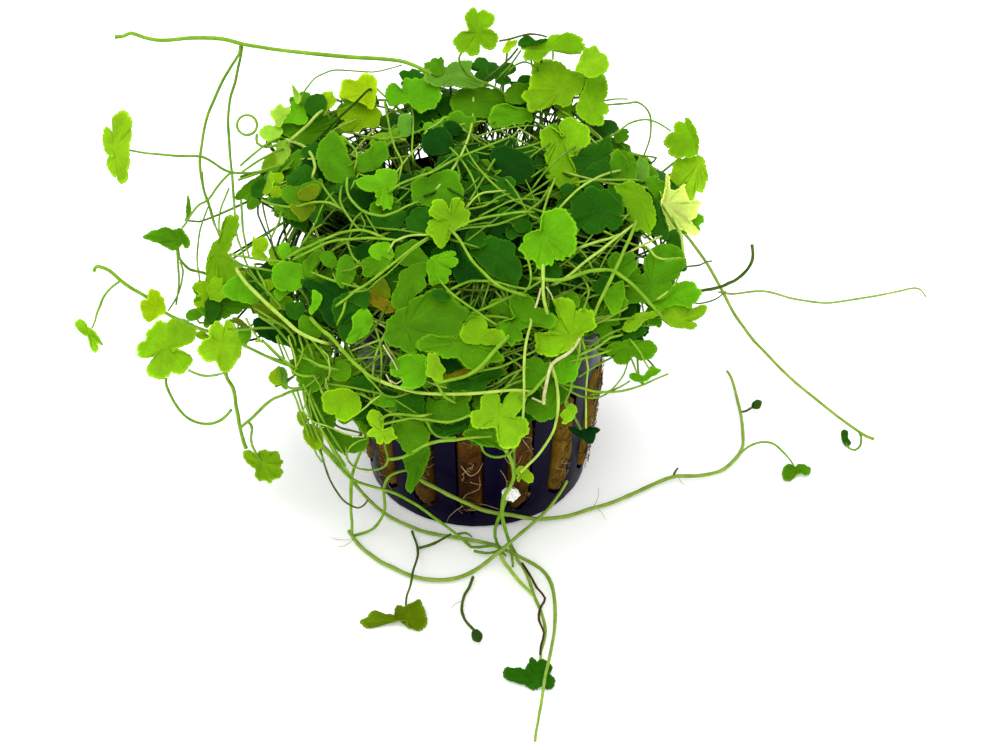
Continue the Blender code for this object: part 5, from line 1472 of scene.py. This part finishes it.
    ("green", 0.28, 2.0, "228,329 240,330 250,329 262,328 275,328"),
    ("bright", 0.26, 2.2, "246,318 250,326 255,334 260,340"),
    ("bright", 0.3, 2.2, "244,346 254,350 264,355 274,360 284,364 294,368"),
    ("olive", 0.32, 2.4, "262,340 268,346 274,352 280,358 286,364"),
    ("green", 0.28, 2.2, "262,318 270,323 278,330 284,337 290,344 294,352"),
    ("green", 0.3, 2.0, "268,320 280,324 288,330 294,338 296,346"),
    ("green", 0.28, 1.6, "248,272 256,280 264,288 272,296 280,306"),
    ("bright", 0.28, 1.8, "256,268 260,276 264,283 266,290"),
    ("green", 0.26, 2.0, "256,309 264,314 272,319 282,326"),
    ("bright", 0.24, 2.0, "278,342 281,350 284,358 287,366"),
    ("green", 0.22, 2.0, "291,346 293,354 295,362"),
    ("green", 0.3, 2.0, "305,338 309,346 312,354 314,362"),
    ("olive", 0.26, 1.4, "300,290 306,297 309,305 311,313"),
    ("bright", 0.26, 3.2, "292,391 296,399 299,408 302,417 306,427 309,437 313,446 317,455 322,462"),
    ("green", 0.24, 3.0, "297,390 300,400 303,410 307,420 311,430 315,440 319,450 324,460"),
    ("bright", 0.28, 3.4, "303,384 309,396 313,408 318,420 322,430 327,438 332,446 337,455 342,464 350,474"),
    ("pale", 0.18, 3.6, "303,410 306,414 311,420 317,423 324,425 330,427 338,431 346,434 355,436 364,437"),
    ("straw", 0.16, 3.4, "305,392 306,400 304,408 302,413"),
    ("straw", 0.16, 3.4, "310,392 309,400 310,408 312,416"),
    ("green", 0.24, 3.0, "322,444 329,451 336,459 342,467"),
    ("green", 0.22, 3.0, "328,440 334,449 340,457 346,466"),
    ("olive", 0.24, 2.6, "334,424 341,428 349,430 357,432 365,434"),
    ("green", 0.22, 2.8, "352,418 357,424 361,430 365,435"),
    ("bright", 0.22, 3.0, "347,453 350,447 355,443 361,440 367,439"),
    ("bright", 0.24, 3.0, "304,358 312,361 319,365 327,367 335,369"),
    ("pale", 0.16, 3.0, "324,352 328,356 329,362 330,369"),
    ("green", 0.3, 3.0, "243,344 255,351 266,356 278,360 288,364 298,369"),
    ("bright", 0.3, 3.2, "256,341 264,342 272,349 279,356 287,362 294,367"),
    ("green", 0.22, 3.0, "280,341 284,348 287,355 290,362"),
    ("pale", 0.2, 3.2, "290,342 293,350 295,358 296,367"),
    ("bright", 0.24, 3.0, "300,340 303,350 300,360 296,368 293,376"),
    ("deep", 0.2, 2.0, "320,351 330,352 342,352"),
    ("deep", 0.2, 2.0, "333,336 336,345 335,354 334,362"),
    ("bright", 0.26, 3.2, "288,364 294,372 303,376 311,376"),
    ("green", 0.26, 3.2, "283,383 290,388 299,388 307,386 315,380"),
    ("straw", 0.14, 3.6, "316,380 320,386 321,392 324,396"),
    ("straw", 0.14, 3.6, "327,379 325,385 328,391 326,396"),
    ("pale", 0.2, 1.8, "320,384 322,391 326,397"),
    ("pale", 0.18, 1.8, "326,381 328,388 327,395"),
]
ringCurl = {"centre": (247, 125), "radius": 10.0, "tail": "257,134 257,143 266,147 277,145"}
fineRoots = [
    ("root", 0.07, "463,506,7.6 458,509,6.8 453,513,5.4 449,517,3.8 446,524,1.6"),
    ("root", 0.06, "480,504,9.0 486,505,8.6 492,507,8.2 498,509,7.6 505,510,7.0"),
    ("root", 0.07, "461,466,24 466,472,22 471,476,20 478,472,21 483,463,24"),
    ("root", 0.06, "462,500,9 466,495,11 473,492,12 479,489,13 480,482,16 479,476,18"),
    ("root", 0.06, "504,456,26 508,462,24 514,466,22 519,462,24 522,455,26"),
    ("root", 0.05, "518,430,34 523,440,31 529,448,28 533,456,26"),
    ("root", 0.06, "500,470,20 505,477,18 507,485,15 503,492,13"),
    ("root", 0.05, "470,482,16 476,484,15.5 482,485,15"),
    ("brown", 0.08, "459,498,9.6 465,500,9.4 472,503,8.9 479,503,8.5 484,501,9"),
    ("brown", 0.08, "462,500,10 468,497,10.4 475,499,9.8 481,504,8.3"),
    ("root", 0.05, "463,600,0.4 455,604,0.3 449,611,0.3"),
    ("root", 0.05, "354,538,1.0 345,540,0.6 335,539,0.3 330,536,0.3"),
    ("root", 0.05, "353,540,0.8 344,546,0.3 336,547,0.3"),
    ("root", 0.05, "593,508,1.0 597,500,1.2 599,493,1.6 598,487,2.0"),
    ("root", 0.05, "596,507,1.0 602,513,0.4 606,520,0.3"),
    ("root", 0.05, "678,476,0.8 681,482,0.3 687,487,0.3"),
]
surfaceStems = [
    ("olive", 0.26, "419,548,0.8 430,545,1.2 439,541,1.6 451,534,2.0"),
    ("bright", 0.3, "506,500,10.0 495,530,2.0 499,547,0.9 506,556,0.7"),
    ("green", 0.24, "470,547,1.2 480,547,1.4 490,546,1.7 500,546,1.9"),
    ("green", 0.24, "474,551,1.0 485,553,1.1 495,552,1.4 500,549,1.8"),
    ("pale", 0.36, "500,553,1.4 504,562,1.0 508,567,0.8 518,580,0.7 528,590,0.6 535,597,0.5"),
    ("green", 0.26, "510,545,2.2 512,555,1.6 513,567,0.9"),
    ("brown", 0.22, "522,563,1.3 530,575,0.9 537,588,0.9 545,598,0.9 540,609,1.2 539,620,1.4 544,633,1.3 "
            "541,645,1.1 540,655,0.9"),
    ("olive", 0.22, "673,477,0.8 675,472,1.2 678,468,1.5"),
    ("green", 0.22, "458,534,1.0 466,533,1.6 472,537,1.2"),
]


# openings of the foliage, and its outline
hidden = {
    "outer": 400, "inner": 150, "outerSize": (2.6, 5.4), "innerSize": (3.2, 5.6), "apart": 4.2,
}
# centre across and down, half width, half height of each opening seen in the photo
openings = [
    (330, 226, 20, 15), (339, 253, 9, 8), (600, 246, 24, 16), (386, 162, 8, 7), (427, 158, 14, 9), (375,
        340, 26, 28),
    (480, 480, 130, 40), (590, 390, 22, 60), (492, 134, 13, 5), (519, 143, 11, 5), (412, 145, 12, 3), (391,
        108, 8, 5),
    (645, 130, 22, 20), (351, 136, 11, 5), (365, 148, 10, 5), (352, 155, 4, 4), (549, 118, 13, 6), (648,
        252, 9, 20), (640, 307, 14, 5),
    (675, 283, 4, 3), (295, 297, 9, 5), (310, 261, 5, 4), (252, 315, 10, 7), (241, 324, 9, 5), (257, 335, 5,
        4),
    (272, 350, 18, 9), (342, 357, 7, 4), (328, 343, 6, 5), (345, 342, 6, 7), (262, 225, 16, 24), (290, 234,
        14, 14),
    (520, 258, 4, 6), (523, 284, 4, 5), (537, 298, 4, 5), (566, 288, 9, 5), (490, 385, 10, 4), (430, 382, 3,
        5),
    (430, 399, 3, 5), (515, 345, 8, 8), (530, 342, 6, 12), (515, 372, 8, 4), (545, 350, 5, 4), (457, 363, 4,
        3), (538, 194, 8, 13),
    (664, 331, 20, 8), (656, 160, 12, 14), (625, 378, 30, 12), (492, 52, 10, 6), (632, 143, 10, 7), (528,
        66, 6, 5), (572, 63, 12, 7), (617, 108, 9, 18), (333, 92, 6, 9),
    (381, 84, 4, 14), (627, 240, 12, 9), (676, 240, 3, 10), (400, 68, 16, 8), (463, 72, 8, 5), (508, 130,
        14, 6), (378, 126, 5, 8),
]
# the outline of the mound in the photo, so nothing hidden shows past it
moundEdge = pixels("268,118 300,100 340,88 380,80 430,70 470,70 518,62 545,64 575,70 600,74 604,100 608,128 "
        "616,146 640,152 660,160 680,172 690,200 680,240 676,270 690,300 650,345 610,365 575,380 560,400 "
        "520,430 470,425 420,430 380,425 345,412 315,405 303,375 300,345 272,350 262,318 236,306 212,300 "
        "214,276 250,268 272,262 280,240 279,212 262,200 262,172 258,132")


def insideEdge(spot, edge):
    inside = False
    for index, (x1, y1) in enumerate(edge):
        x2, y2 = edge[index - 1]
        if (y1 > spot[1]) != (y2 > spot[1]) and spot[0] < (x2 - x1) * (spot[1] - y1) / (y2 - y1) + x1:
            inside = not inside
    return inside


def inGap(spot, margin):
    return any(((spot[0] - x) / (w + margin)) ** 2 + ((spot[1] - y) / (h + margin)) ** 2 < 1 for x, y, w,
        h in openings)


# petioles: each blade hangs on one that comes out of the crown
crown = {"top": 37.6, "reach": 17.0, "rim": 25.0, "rimClear": 52.5, "seed": 23}


def moundPath(text, lift):
    return aboveFloor(smoothPath([overMound(across, down, lift) for across, down in pixels(text)]), 0.5)


toCamera = (photoView["place"] - mound["centre"]).normalized()


def buriedEnds(path):
    # the ends that the photo loses between the leaves run on inwards, away from the camera
    inwards = []
    for end, before in ((path[0], path[2]), (path[-1], path[-3])):
        if insideEdge(toPhoto(end), moundEdge):
            onward = (end - before).normalized()
            deeper = (mound["centre"] - end).normalized()
            tail = [end + onward * 0.9 - toCamera * 1.2, end + onward * 1.2 - toCamera * 3.6 + deeper * 0.6,
                end + onward * 1.2 - toCamera * 7.0 + deeper * 2.4]
            inwards.append([point for point in tail if point.z > 52.5 or math.hypot(point.x, point.y) > 28])
        else:
            inwards.append([])
    whole = list(reversed(inwards[0])) + path + inwards[1]
    return [point for point in whole if point.z > 0.5]


clumpStems = {name: [] for name in clumps}
clumpBlades = {name: [] for name in clumps}
for kind, radius, lift, text in moundStems:
    path = moundPath(text, lift)
    clumpStems[nearestClump(path[len(path) // 2])].append((kind, radius * 0.74,
        path if kind == "dead" else buriedEnds(path), 0.2))
ring = ringCurl["centre"]
curl = [overMound(ring[0] + ringCurl["radius"] * math.cos(step * 0.5),
    ring[1] - ringCurl["radius"] * math.sin(step * 0.5), 2.0 - step * 0.08) for step in range(-3, 11)]
clumpStems["back_left"].append(("bright", 0.24, smoothPath(curl, 0.6), 0.0))
clumpStems["back_left"].append(("bright", 0.24, moundPath(ringCurl["tail"], 2.0), 0.0))

upward = Vector((0, 0, 1))


def petiolePath(joint, normal, rng):
    # the route, out of a few, that crosses the fewest openings of the foliage
    best, fewest = None, 1e9
    for attempt in range(7):
        path = petioleRoute(joint, normal, rng)
        crossings = 0
        for point in path:
            spot = toPhoto(point)
            if not insideEdge(spot, moundEdge) or inGap(spot, 0.0):
                crossings += 1
        if crossings < fewest:
            best, fewest = path, crossings
        if fewest == 0:
            break
    return best


def petioleRoute(joint, normal, rng):
    flat = Vector((joint.x, joint.y, 0.0))
    reach = max(flat.length, 0.01)
    outward = flat / reach
    sway = outward.cross(Vector((0, 0, 1))) * rng.uniform(-9, 9)
    start = outward * min(reach * 0.5, crown["reach"] * rng.uniform(0.35, 1.0)) + sway
    if start.length > 19.5:
        start *= 19.5 / start.length
    start.z = crown["top"]
    under = joint - normal * min(5.0, 1.5 + 0.12 * (joint - start).length)
    points = [start, start + Vector((0, 0, 4.0)) + sway * 0.1]
    if joint.z < 54 and reach > 22:
        aside = outward.cross(upward) * rng.uniform(-7, 7)
        points.append(outward * rng.uniform(22.5, 25.0) + sway * 0.6 + aside
            + Vector((0, 0, crown["rimClear"] + rng.uniform(0, 5))))
        if joint.z < 42:
            points.append(outward * rng.uniform(30.5, 34.0) + sway * 0.3 - aside * 0.6
                + Vector((0, 0, 46.0 + rng.uniform(0, 3))))
    else:
        points.append(start.lerp(under, 0.55) + Vector((0, 0, rng.uniform(1.0, 4.0))) + sway * 0.2)
    points += [under, joint]
    return smoothPath(points, 2.2)


fillRng = random.Random(crown["seed"])
viewNormal = bladeNormal(0, 0)
heroJoints = []
heroPlanes = []
for name, (tint, lift, rim, *heart) in moundBlades.items():
    def anchorOf(spot, lift=lift):
        return overMound(spot.x, spot.y, lift)
    points = pixels(rim)
    middle = overMound(sum(p[0] for p in points) / len(points), sum(p[1] for p in points) / len(points), lift)
    sideways = Vector((fillRng.uniform(-0.22, 0.22), fillRng.uniform(-0.12, 0.12),
        fillRng.uniform(-0.1, 0.1)))
    normal = (viewNormal * 0.75 + upward * 0.3 + shellNormal(middle) * 0.35 + sideways).normalized()
    blade, joint, size = tracedBlade(name, points, anchorOf, normal, tint, fillRng, 1.0,
        heart=heart[0] if heart else None, teeth=0.075)
    home = nearestClump(joint)
    clumpBlades[home].append(blade)
    heroJoints.append((joint, size))
    heroPlanes.append((points, joint, normal))
    clumpStems[home].append((fillRng.choice(("green", "green", "deep", "olive")), 0.24,
        petiolePath(joint, normal, fillRng), 0.25))
print("photo blades cut", len(heroJoints))


def behindPhoto(point, size):
    # the same line of sight, but behind every blade read from the photo that the new one would touch
    across, down = toPhoto(point)
    reach = size * 3.2
    spots = [(across, down)] + [(across + reach * math.cos(turn), down + reach * math.sin(turn))
        for turn in (0, 1.05, 2.1, 3.14, 4.19, 5.24)]
    near = (point - photoView["place"]).length
    far = near
    for rim, joint, normal in heroPlanes:
        if any(insideEdge(spot, rim) for spot in spots):
            far = max(far, (onPlane(across, down, joint, normal) - photoView["place"]).length + 1.2
                + size * 0.25)
    return photoView["place"] + (point - photoView["place"]) * (far / near), far - near


# foliage that the photo hides: inside, at the sides and at the back
def showsPast(point, size):
    across, down = toPhoto(point)
    margin = size * 4.0
    corners = [(across + margin * math.cos(a), down + margin * math.sin(a))
        for a in (0, 0.8, 1.6, 2.4, 3.2, 4.0, 4.8, 5.6)]
    if not all(insideEdge(corner, moundEdge) for corner in corners):
        return True
    return inGap((across, down), margin)


def clearOfPot(point, size):
    reach = math.hypot(point.x, point.y)
    return point.z - size > 50 or reach - size * 0.4 > 27.5 or (reach + size < 20 and point.z > 44)


placed = []
made = 0
tries = 0
while made < hidden["outer"] and tries < 9000:
    tries += 1
    turn = fillRng.uniform(0, 2 * math.pi)
    rise = fillRng.uniform(-0.45, 1.0)
    flat = math.sqrt(1 - rise * rise)
    way = Vector((flat * math.cos(turn), flat * math.sin(turn), rise))
    shell = fillRng.uniform(0.86, 1.0)
    point = mound["centre"] + Vector([way[axis] * mound["radii"][axis] * shell for axis in range(3)])
    outward = shellNormal(point)
    size = fillRng.uniform(*hidden["outerSize"])
    facing = outward.dot(toCamera)
    if facing > 0.12:
        point, pushed = behindPhoto(point - toCamera * fillRng.uniform(4.0, 8.0), size)
        if pushed > 9.0:
            continue
        if any((point - other).length < hidden["apart"] * 1.25 for other in placed):
            continue
    elif any((point - other).length < hidden["apart"] * 0.92 for other in placed):
        continue
    if not clearOfPot(point, size * 0.6) or showsPast(point, size * 0.8):
        continue
    normal = (outward * 0.7 + upward * 0.55 + Vector([fillRng.uniform(-0.3, 0.3)
        for axis in range(3)])).normalized()
    # blades turned to the camera sit behind the traced ones and take darker tints and petioles as painted
    # shade
    if facing > 0.12:
        tint = fillRng.choice(("deep", "dark", "deep", "mid") if point.x > -26 else ("mid", "deep", "lively"))
    else:
        tint = fillRng.choice(("bright", "mid", "mid", "fresh", "deep", "mid", "olive"))
    blade = looseBlade("hiddenBlade", point, normal, outward + upward * 0.2, size, tint, fillRng,
        plainDisc if facing > 0.12 or made % 2 else coarseDisc)
    home = nearestClump(point)
    clumpBlades[home].append(blade)
    clumpStems[home].append((fillRng.choice(("deep", "green", "olive") if facing > 0.12
        else ("green", "bright", "green")), 0.22, petiolePath(point, normal, fillRng), 0.25))
    placed.append(point)
    made += 1
print("outer hidden blades", made)
# a band of small blades over the pot's rim, at the back and at the left side
rimBand = {"count": 120, "angles": (0.1, 3.5), "height": (41.0, 57.0), "size": (2.2, 3.8), "apart": 3.0}
made = 0
tries = 0
band = []
while made < rimBand["count"] and tries < 9000:
    tries += 1
    turn = fillRng.uniform(*rimBand["angles"])
    height = fillRng.uniform(*rimBand["height"])
    size = fillRng.uniform(*rimBand["size"])
    level = math.sqrt(max(0.05, 1 - ((height - mound["centre"].z) / mound["radii"].z) ** 2))
    point = mound["centre"] + Vector((math.cos(turn) * mound["radii"].x * level,
        math.sin(turn) * mound["radii"].y * level, height - mound["centre"].z)) * 1.0
    reach = math.hypot(point.x, point.y)
    if reach < 30 + size * 0.3:
        point.x *= (30 + size * 0.3) / reach
        point.y *= (30 + size * 0.3) / reach
    outward = Vector((point.x, point.y, 8.0)).normalized()
    if showsPast(point, size * 0.45) or any((point - other).length < rimBand["apart"] for other in band):
        continue
    normal = (outward * 0.8 + upward * 0.5 + Vector([fillRng.uniform(-0.35, 0.35)
        for axis in range(3)])).normalized()
    blade = looseBlade("rimBlade", point, normal, outward * 0.4 - upward, size,
        fillRng.choice(("bright", "mid", "fresh", "deep", "mid", "lively")), fillRng, coarseDisc)
    home = nearestClump(point)
    clumpBlades[home].append(blade)
    clumpStems[home].append((fillRng.choice(("green", "bright", "deep")), 0.2,
        petiolePath(point, normal, fillRng), 0.25))
    band.append(point)
    made += 1
print("blades over the rim", made)
# small blades between and just behind the traced ones, with darker tints painted as shade in the middle of
# the mound
between = {
    "count": 230, "apart": 3.0, "size": (2.0, 4.2), "across": (255, 700), "down": (60, 430), "shade": (465,
        232, 155, 88),
    "inShade": ("deep", "dark", "deep", "mid", "dark"), "inLight": ("mid", "deep", "lively", "mid",
        "bright", "deep"),
}
made = 0
tries = 0
layer = []
while made < between["count"] and tries < 9000:
    tries += 1
    spot = (fillRng.uniform(*between["across"]), fillRng.uniform(*between["down"]))
    size = fillRng.uniform(*between["size"])
    if not insideEdge(spot, moundEdge) or inGap(spot, size * 3.0):
        continue
    point, pushed = behindPhoto(overMound(spot[0], spot[1], fillRng.uniform(-4.5, -0.5)), size)
    if pushed > 7.0 or any((point - other).length < between["apart"]
            for other in layer) or not clearOfPot(point, size * 0.5):
        continue
    x, y, w, h = between["shade"]
    shaded = ((spot[0] - x) / w) ** 2 + ((spot[1] - y) / h) ** 2 < 1
    normal = (viewNormal * 0.6 + upward * 0.35 + shellNormal(point) * 0.5
        + Vector([fillRng.uniform(-0.4, 0.4) for axis in range(3)])).normalized()
    turn = fillRng.uniform(0, 2 * math.pi)
    blade = looseBlade("smallBlade", point, normal, Vector((math.cos(turn), 0.3, math.sin(turn))), size,
        fillRng.choice(between["inShade" if shaded else "inLight"]), fillRng, plainDisc)
    home = nearestClump(point)
    clumpBlades[home].append(blade)
    clumpStems[home].append((fillRng.choice(("deep", "green", "olive")), 0.19,
        petiolePath(point, normal, fillRng), 0.25))
    layer.append(point)
    made += 1
print("small blades", made)
made = 0
tries = 0
while made < hidden["inner"] and tries < 6000:
    tries += 1
    way = Vector([fillRng.uniform(-1, 1) for axis in range(3)])
    if way.length > 1 or way.length < 0.3:
        continue
    point = mound["centre"] + Vector([way[axis] * mound["radii"][axis] * 0.84 for axis in range(3)])
    size = fillRng.uniform(*hidden["innerSize"])
    if point.z < 20 or not clearOfPot(point, size * 0.7) or showsPast(point, size * 0.8):
        continue
    if any((point - other).length < 4.2 for other in placed):
        continue
    normal = (shellNormal(point) * 0.5 + upward * 0.6 + Vector([fillRng.uniform(-0.4, 0.4)
        for axis in range(3)])).normalized()
    # blades deep inside the mound take the darkest tints, and their petioles dark colours: painted shade
    blade = looseBlade("innerBlade", point, normal, shellNormal(point), size,
        fillRng.choice(("dark", "shade", "deep", "dark")), fillRng, coarseDisc)
    home = nearestClump(point)
    clumpBlades[home].append(blade)
    clumpStems[home].append((fillRng.choice(("deep", "olive", "deep")), 0.22,
        petiolePath(point, normal, fillRng), 0.25))
    placed.append(point)
    made += 1
print("inner hidden blades", made)

# thin stems that run through the foliage from side to side, as they do all over the mound
weave = {"count": 200, "across": (215, 690), "down": (78, 415), "lift": (-3.0, 0.9), "length": (50, 150),
    "radius": (0.13, 0.22), "step": 9.0, "under": 0.7}
made = 0
tries = 0
while made < weave["count"] and tries < 9000:
    tries += 1
    x, y = fillRng.uniform(*weave["across"]), fillRng.uniform(*weave["down"])
    heading = fillRng.choice((0.0, math.pi)) + fillRng.uniform(-0.85, 0.85)
    turning = fillRng.uniform(-0.11, 0.11)
    lift = fillRng.uniform(*weave["lift"])
    route = []
    for step in range(int(fillRng.uniform(*weave["length"]) / weave["step"])):
        route.append((x, y))
        x += math.cos(heading) * weave["step"]
        y += math.sin(heading) * weave["step"]
        heading += turning + fillRng.uniform(-0.05, 0.05)
    if not all(insideEdge(spot, moundEdge) for spot in route):
        continue
    under = fillRng.random() < weave["under"]
    points = [overMound(*spot, lift + 0.8 * math.sin(index * 0.7 + made)) for index, spot in enumerate(route)]
    points = [behindPhoto(point, 0.4)[0] if under or index in (0, 1, len(points) - 2, len(points) - 1)
        else point for index, point in enumerate(points)]
    path = smoothPath(points, 1.6)
    if any(point.z < 30 or (point.z < 53 and math.hypot(point.x, point.y) < 28.5) for point in path):
        continue
    middle = route[len(route) // 2]
    x, y, w, h = between["shade"]
    shaded = ((middle[0] - x) / w) ** 2 + ((middle[1] - y) / h) ** 2 < 1
    # stems in the shaded middle get darker colours, painted shade
    kind = fillRng.choice(("green", "olive", "green", "deep", "bright") if shaded
        else ("green", "bright", "bright", "green", "pale"))
    clumpStems[nearestClump(path[len(path) // 2])].append((kind, fillRng.uniform(*weave["radius"]),
        buriedEnds(path), 0.2))
    made += 1
print("thin stems woven in", made)

for name in clumps:
    node = "foliage_" + name
    finishPiece(joinBlades("blades_" + name, clumpBlades[name], 0.2), [node])
    finishPiece(drawStems("stems_" + name, clumpStems[name], 1), [node])
print("mound filled")

# crown: young petioles and cut stubs that fill the pot's mouth
crownShoots = []
for number in range(60):
    angle = fillRng.uniform(0, 2 * math.pi)
    reach = 19.0 * math.sqrt(fillRng.random())
    foot = Vector((math.cos(angle) * reach, math.sin(angle) * reach, crown["top"]))
    lean = Vector((math.cos(angle), math.sin(angle), 0)) * fillRng.uniform(-1.5, 2.2)
    height = fillRng.uniform(2.5, 8)
    points = [foot, foot + lean * 0.4 + Vector((0, 0, height * 0.5)), foot + lean + Vector((0, 0, height))]
    points = [p if math.hypot(p.x, p.y) < 20.8 or p.z > 49 else Vector((p.x * 0.9, p.y * 0.9, p.z))
        for p in points]
    crownShoots.append((fillRng.choice(("olive", "deep", "brown", "deep")), 0.24, smoothPath(points, 2.0),
        0.4))
finishPiece(drawStems("crownShoots", crownShoots, 1), ["crown_stems"])

# roots and side stems on and near the surface
rootlets = [(kind, radius, smoothPath([atHeight(*spot) for spot in pixels(text)], 0.8), 0.5) for kind,
    radius, text in fineRoots]
finishPiece(drawStems("fineRoots", rootlets, 1), ["runner_right_ground"])
shoots = [(kind, radius, smoothPath([atHeight(*spot) for spot in pixels(text)], 1.0), 0.3) for kind, radius,
    text in surfaceStems]
finishPiece(drawStems("sideShoots", shoots, 1), ["runner_front_long"])
print("roots spread")

# floor and light
floorLook = {"half": 3.0, "colour": "#fafaf9", "under": -0.0002}
bpy.ops.object.select_all(action="DESELECT")
bpy.ops.mesh.primitive_plane_add(size=floorLook["half"] * 2, location=(0, 0, floorLook["under"]))
floor = bpy.context.object
floor.name = "paleFloor"
floorMaterial, tree, out = newMaterial("palePaper")
place = addNode(tree, "ShaderNodeTexCoord").outputs["Object"]
tooth = addNode(tree, "ShaderNodeTexNoise", {"Scale": 900.0, "Detail": 3.0}, {"Vector": place})
bump = addNode(tree, "ShaderNodeBump", {"Strength": 0.05, "Distance": 0.0001},
    {"Height": tooth.outputs["Fac"]})
surface = addNode(tree, "ShaderNodeBsdfPrincipled", {"Base Color": linearColour(floorLook["colour"]),
    "Roughness": 0.9, "Specular IOR Level": 0.1, "Emission Color": (1.0, 1.0, 1.0, 1.0),
    "Emission Strength": 0.14}, {"Normal": bump.outputs[0]})
tree.links.new(surface.outputs[0], out.inputs["Surface"])
floor.data.materials.append(floorMaterial)

studio = {
    "sky": 1.08,
    "top": {"place": (-0.12, 0.05, 0.85), "size": 1.2, "power": 7.0},
    "front": {"place": (-0.1, -0.8, 0.7), "size": 0.8, "power": 3.0},
}
world = bpy.data.worlds.new("studioWorld")
world.use_nodes = True
world.node_tree.nodes["Background"].inputs["Color"].default_value = (1.0, 1.0, 1.0, 1.0)
world.node_tree.nodes["Background"].inputs["Strength"].default_value = studio["sky"]
bpy.context.scene.world = world
for name in ("top", "front"):
    look = studio[name]
    lampData = bpy.data.lights.new(name + "Softbox", "AREA")
    lampData.shape = "SQUARE"
    lampData.size = look["size"]
    lampData.energy = look["power"]
    lamp = bpy.data.objects.new(name + "Softbox", lampData)
    lamp.location = look["place"]
    lamp.rotation_euler = (Vector((0, 0, 0.04)) - Vector(look["place"])).to_track_quat("-Z", "Y").to_euler()
    bpy.context.scene.collection.objects.link(lamp)
print("floor and light set")
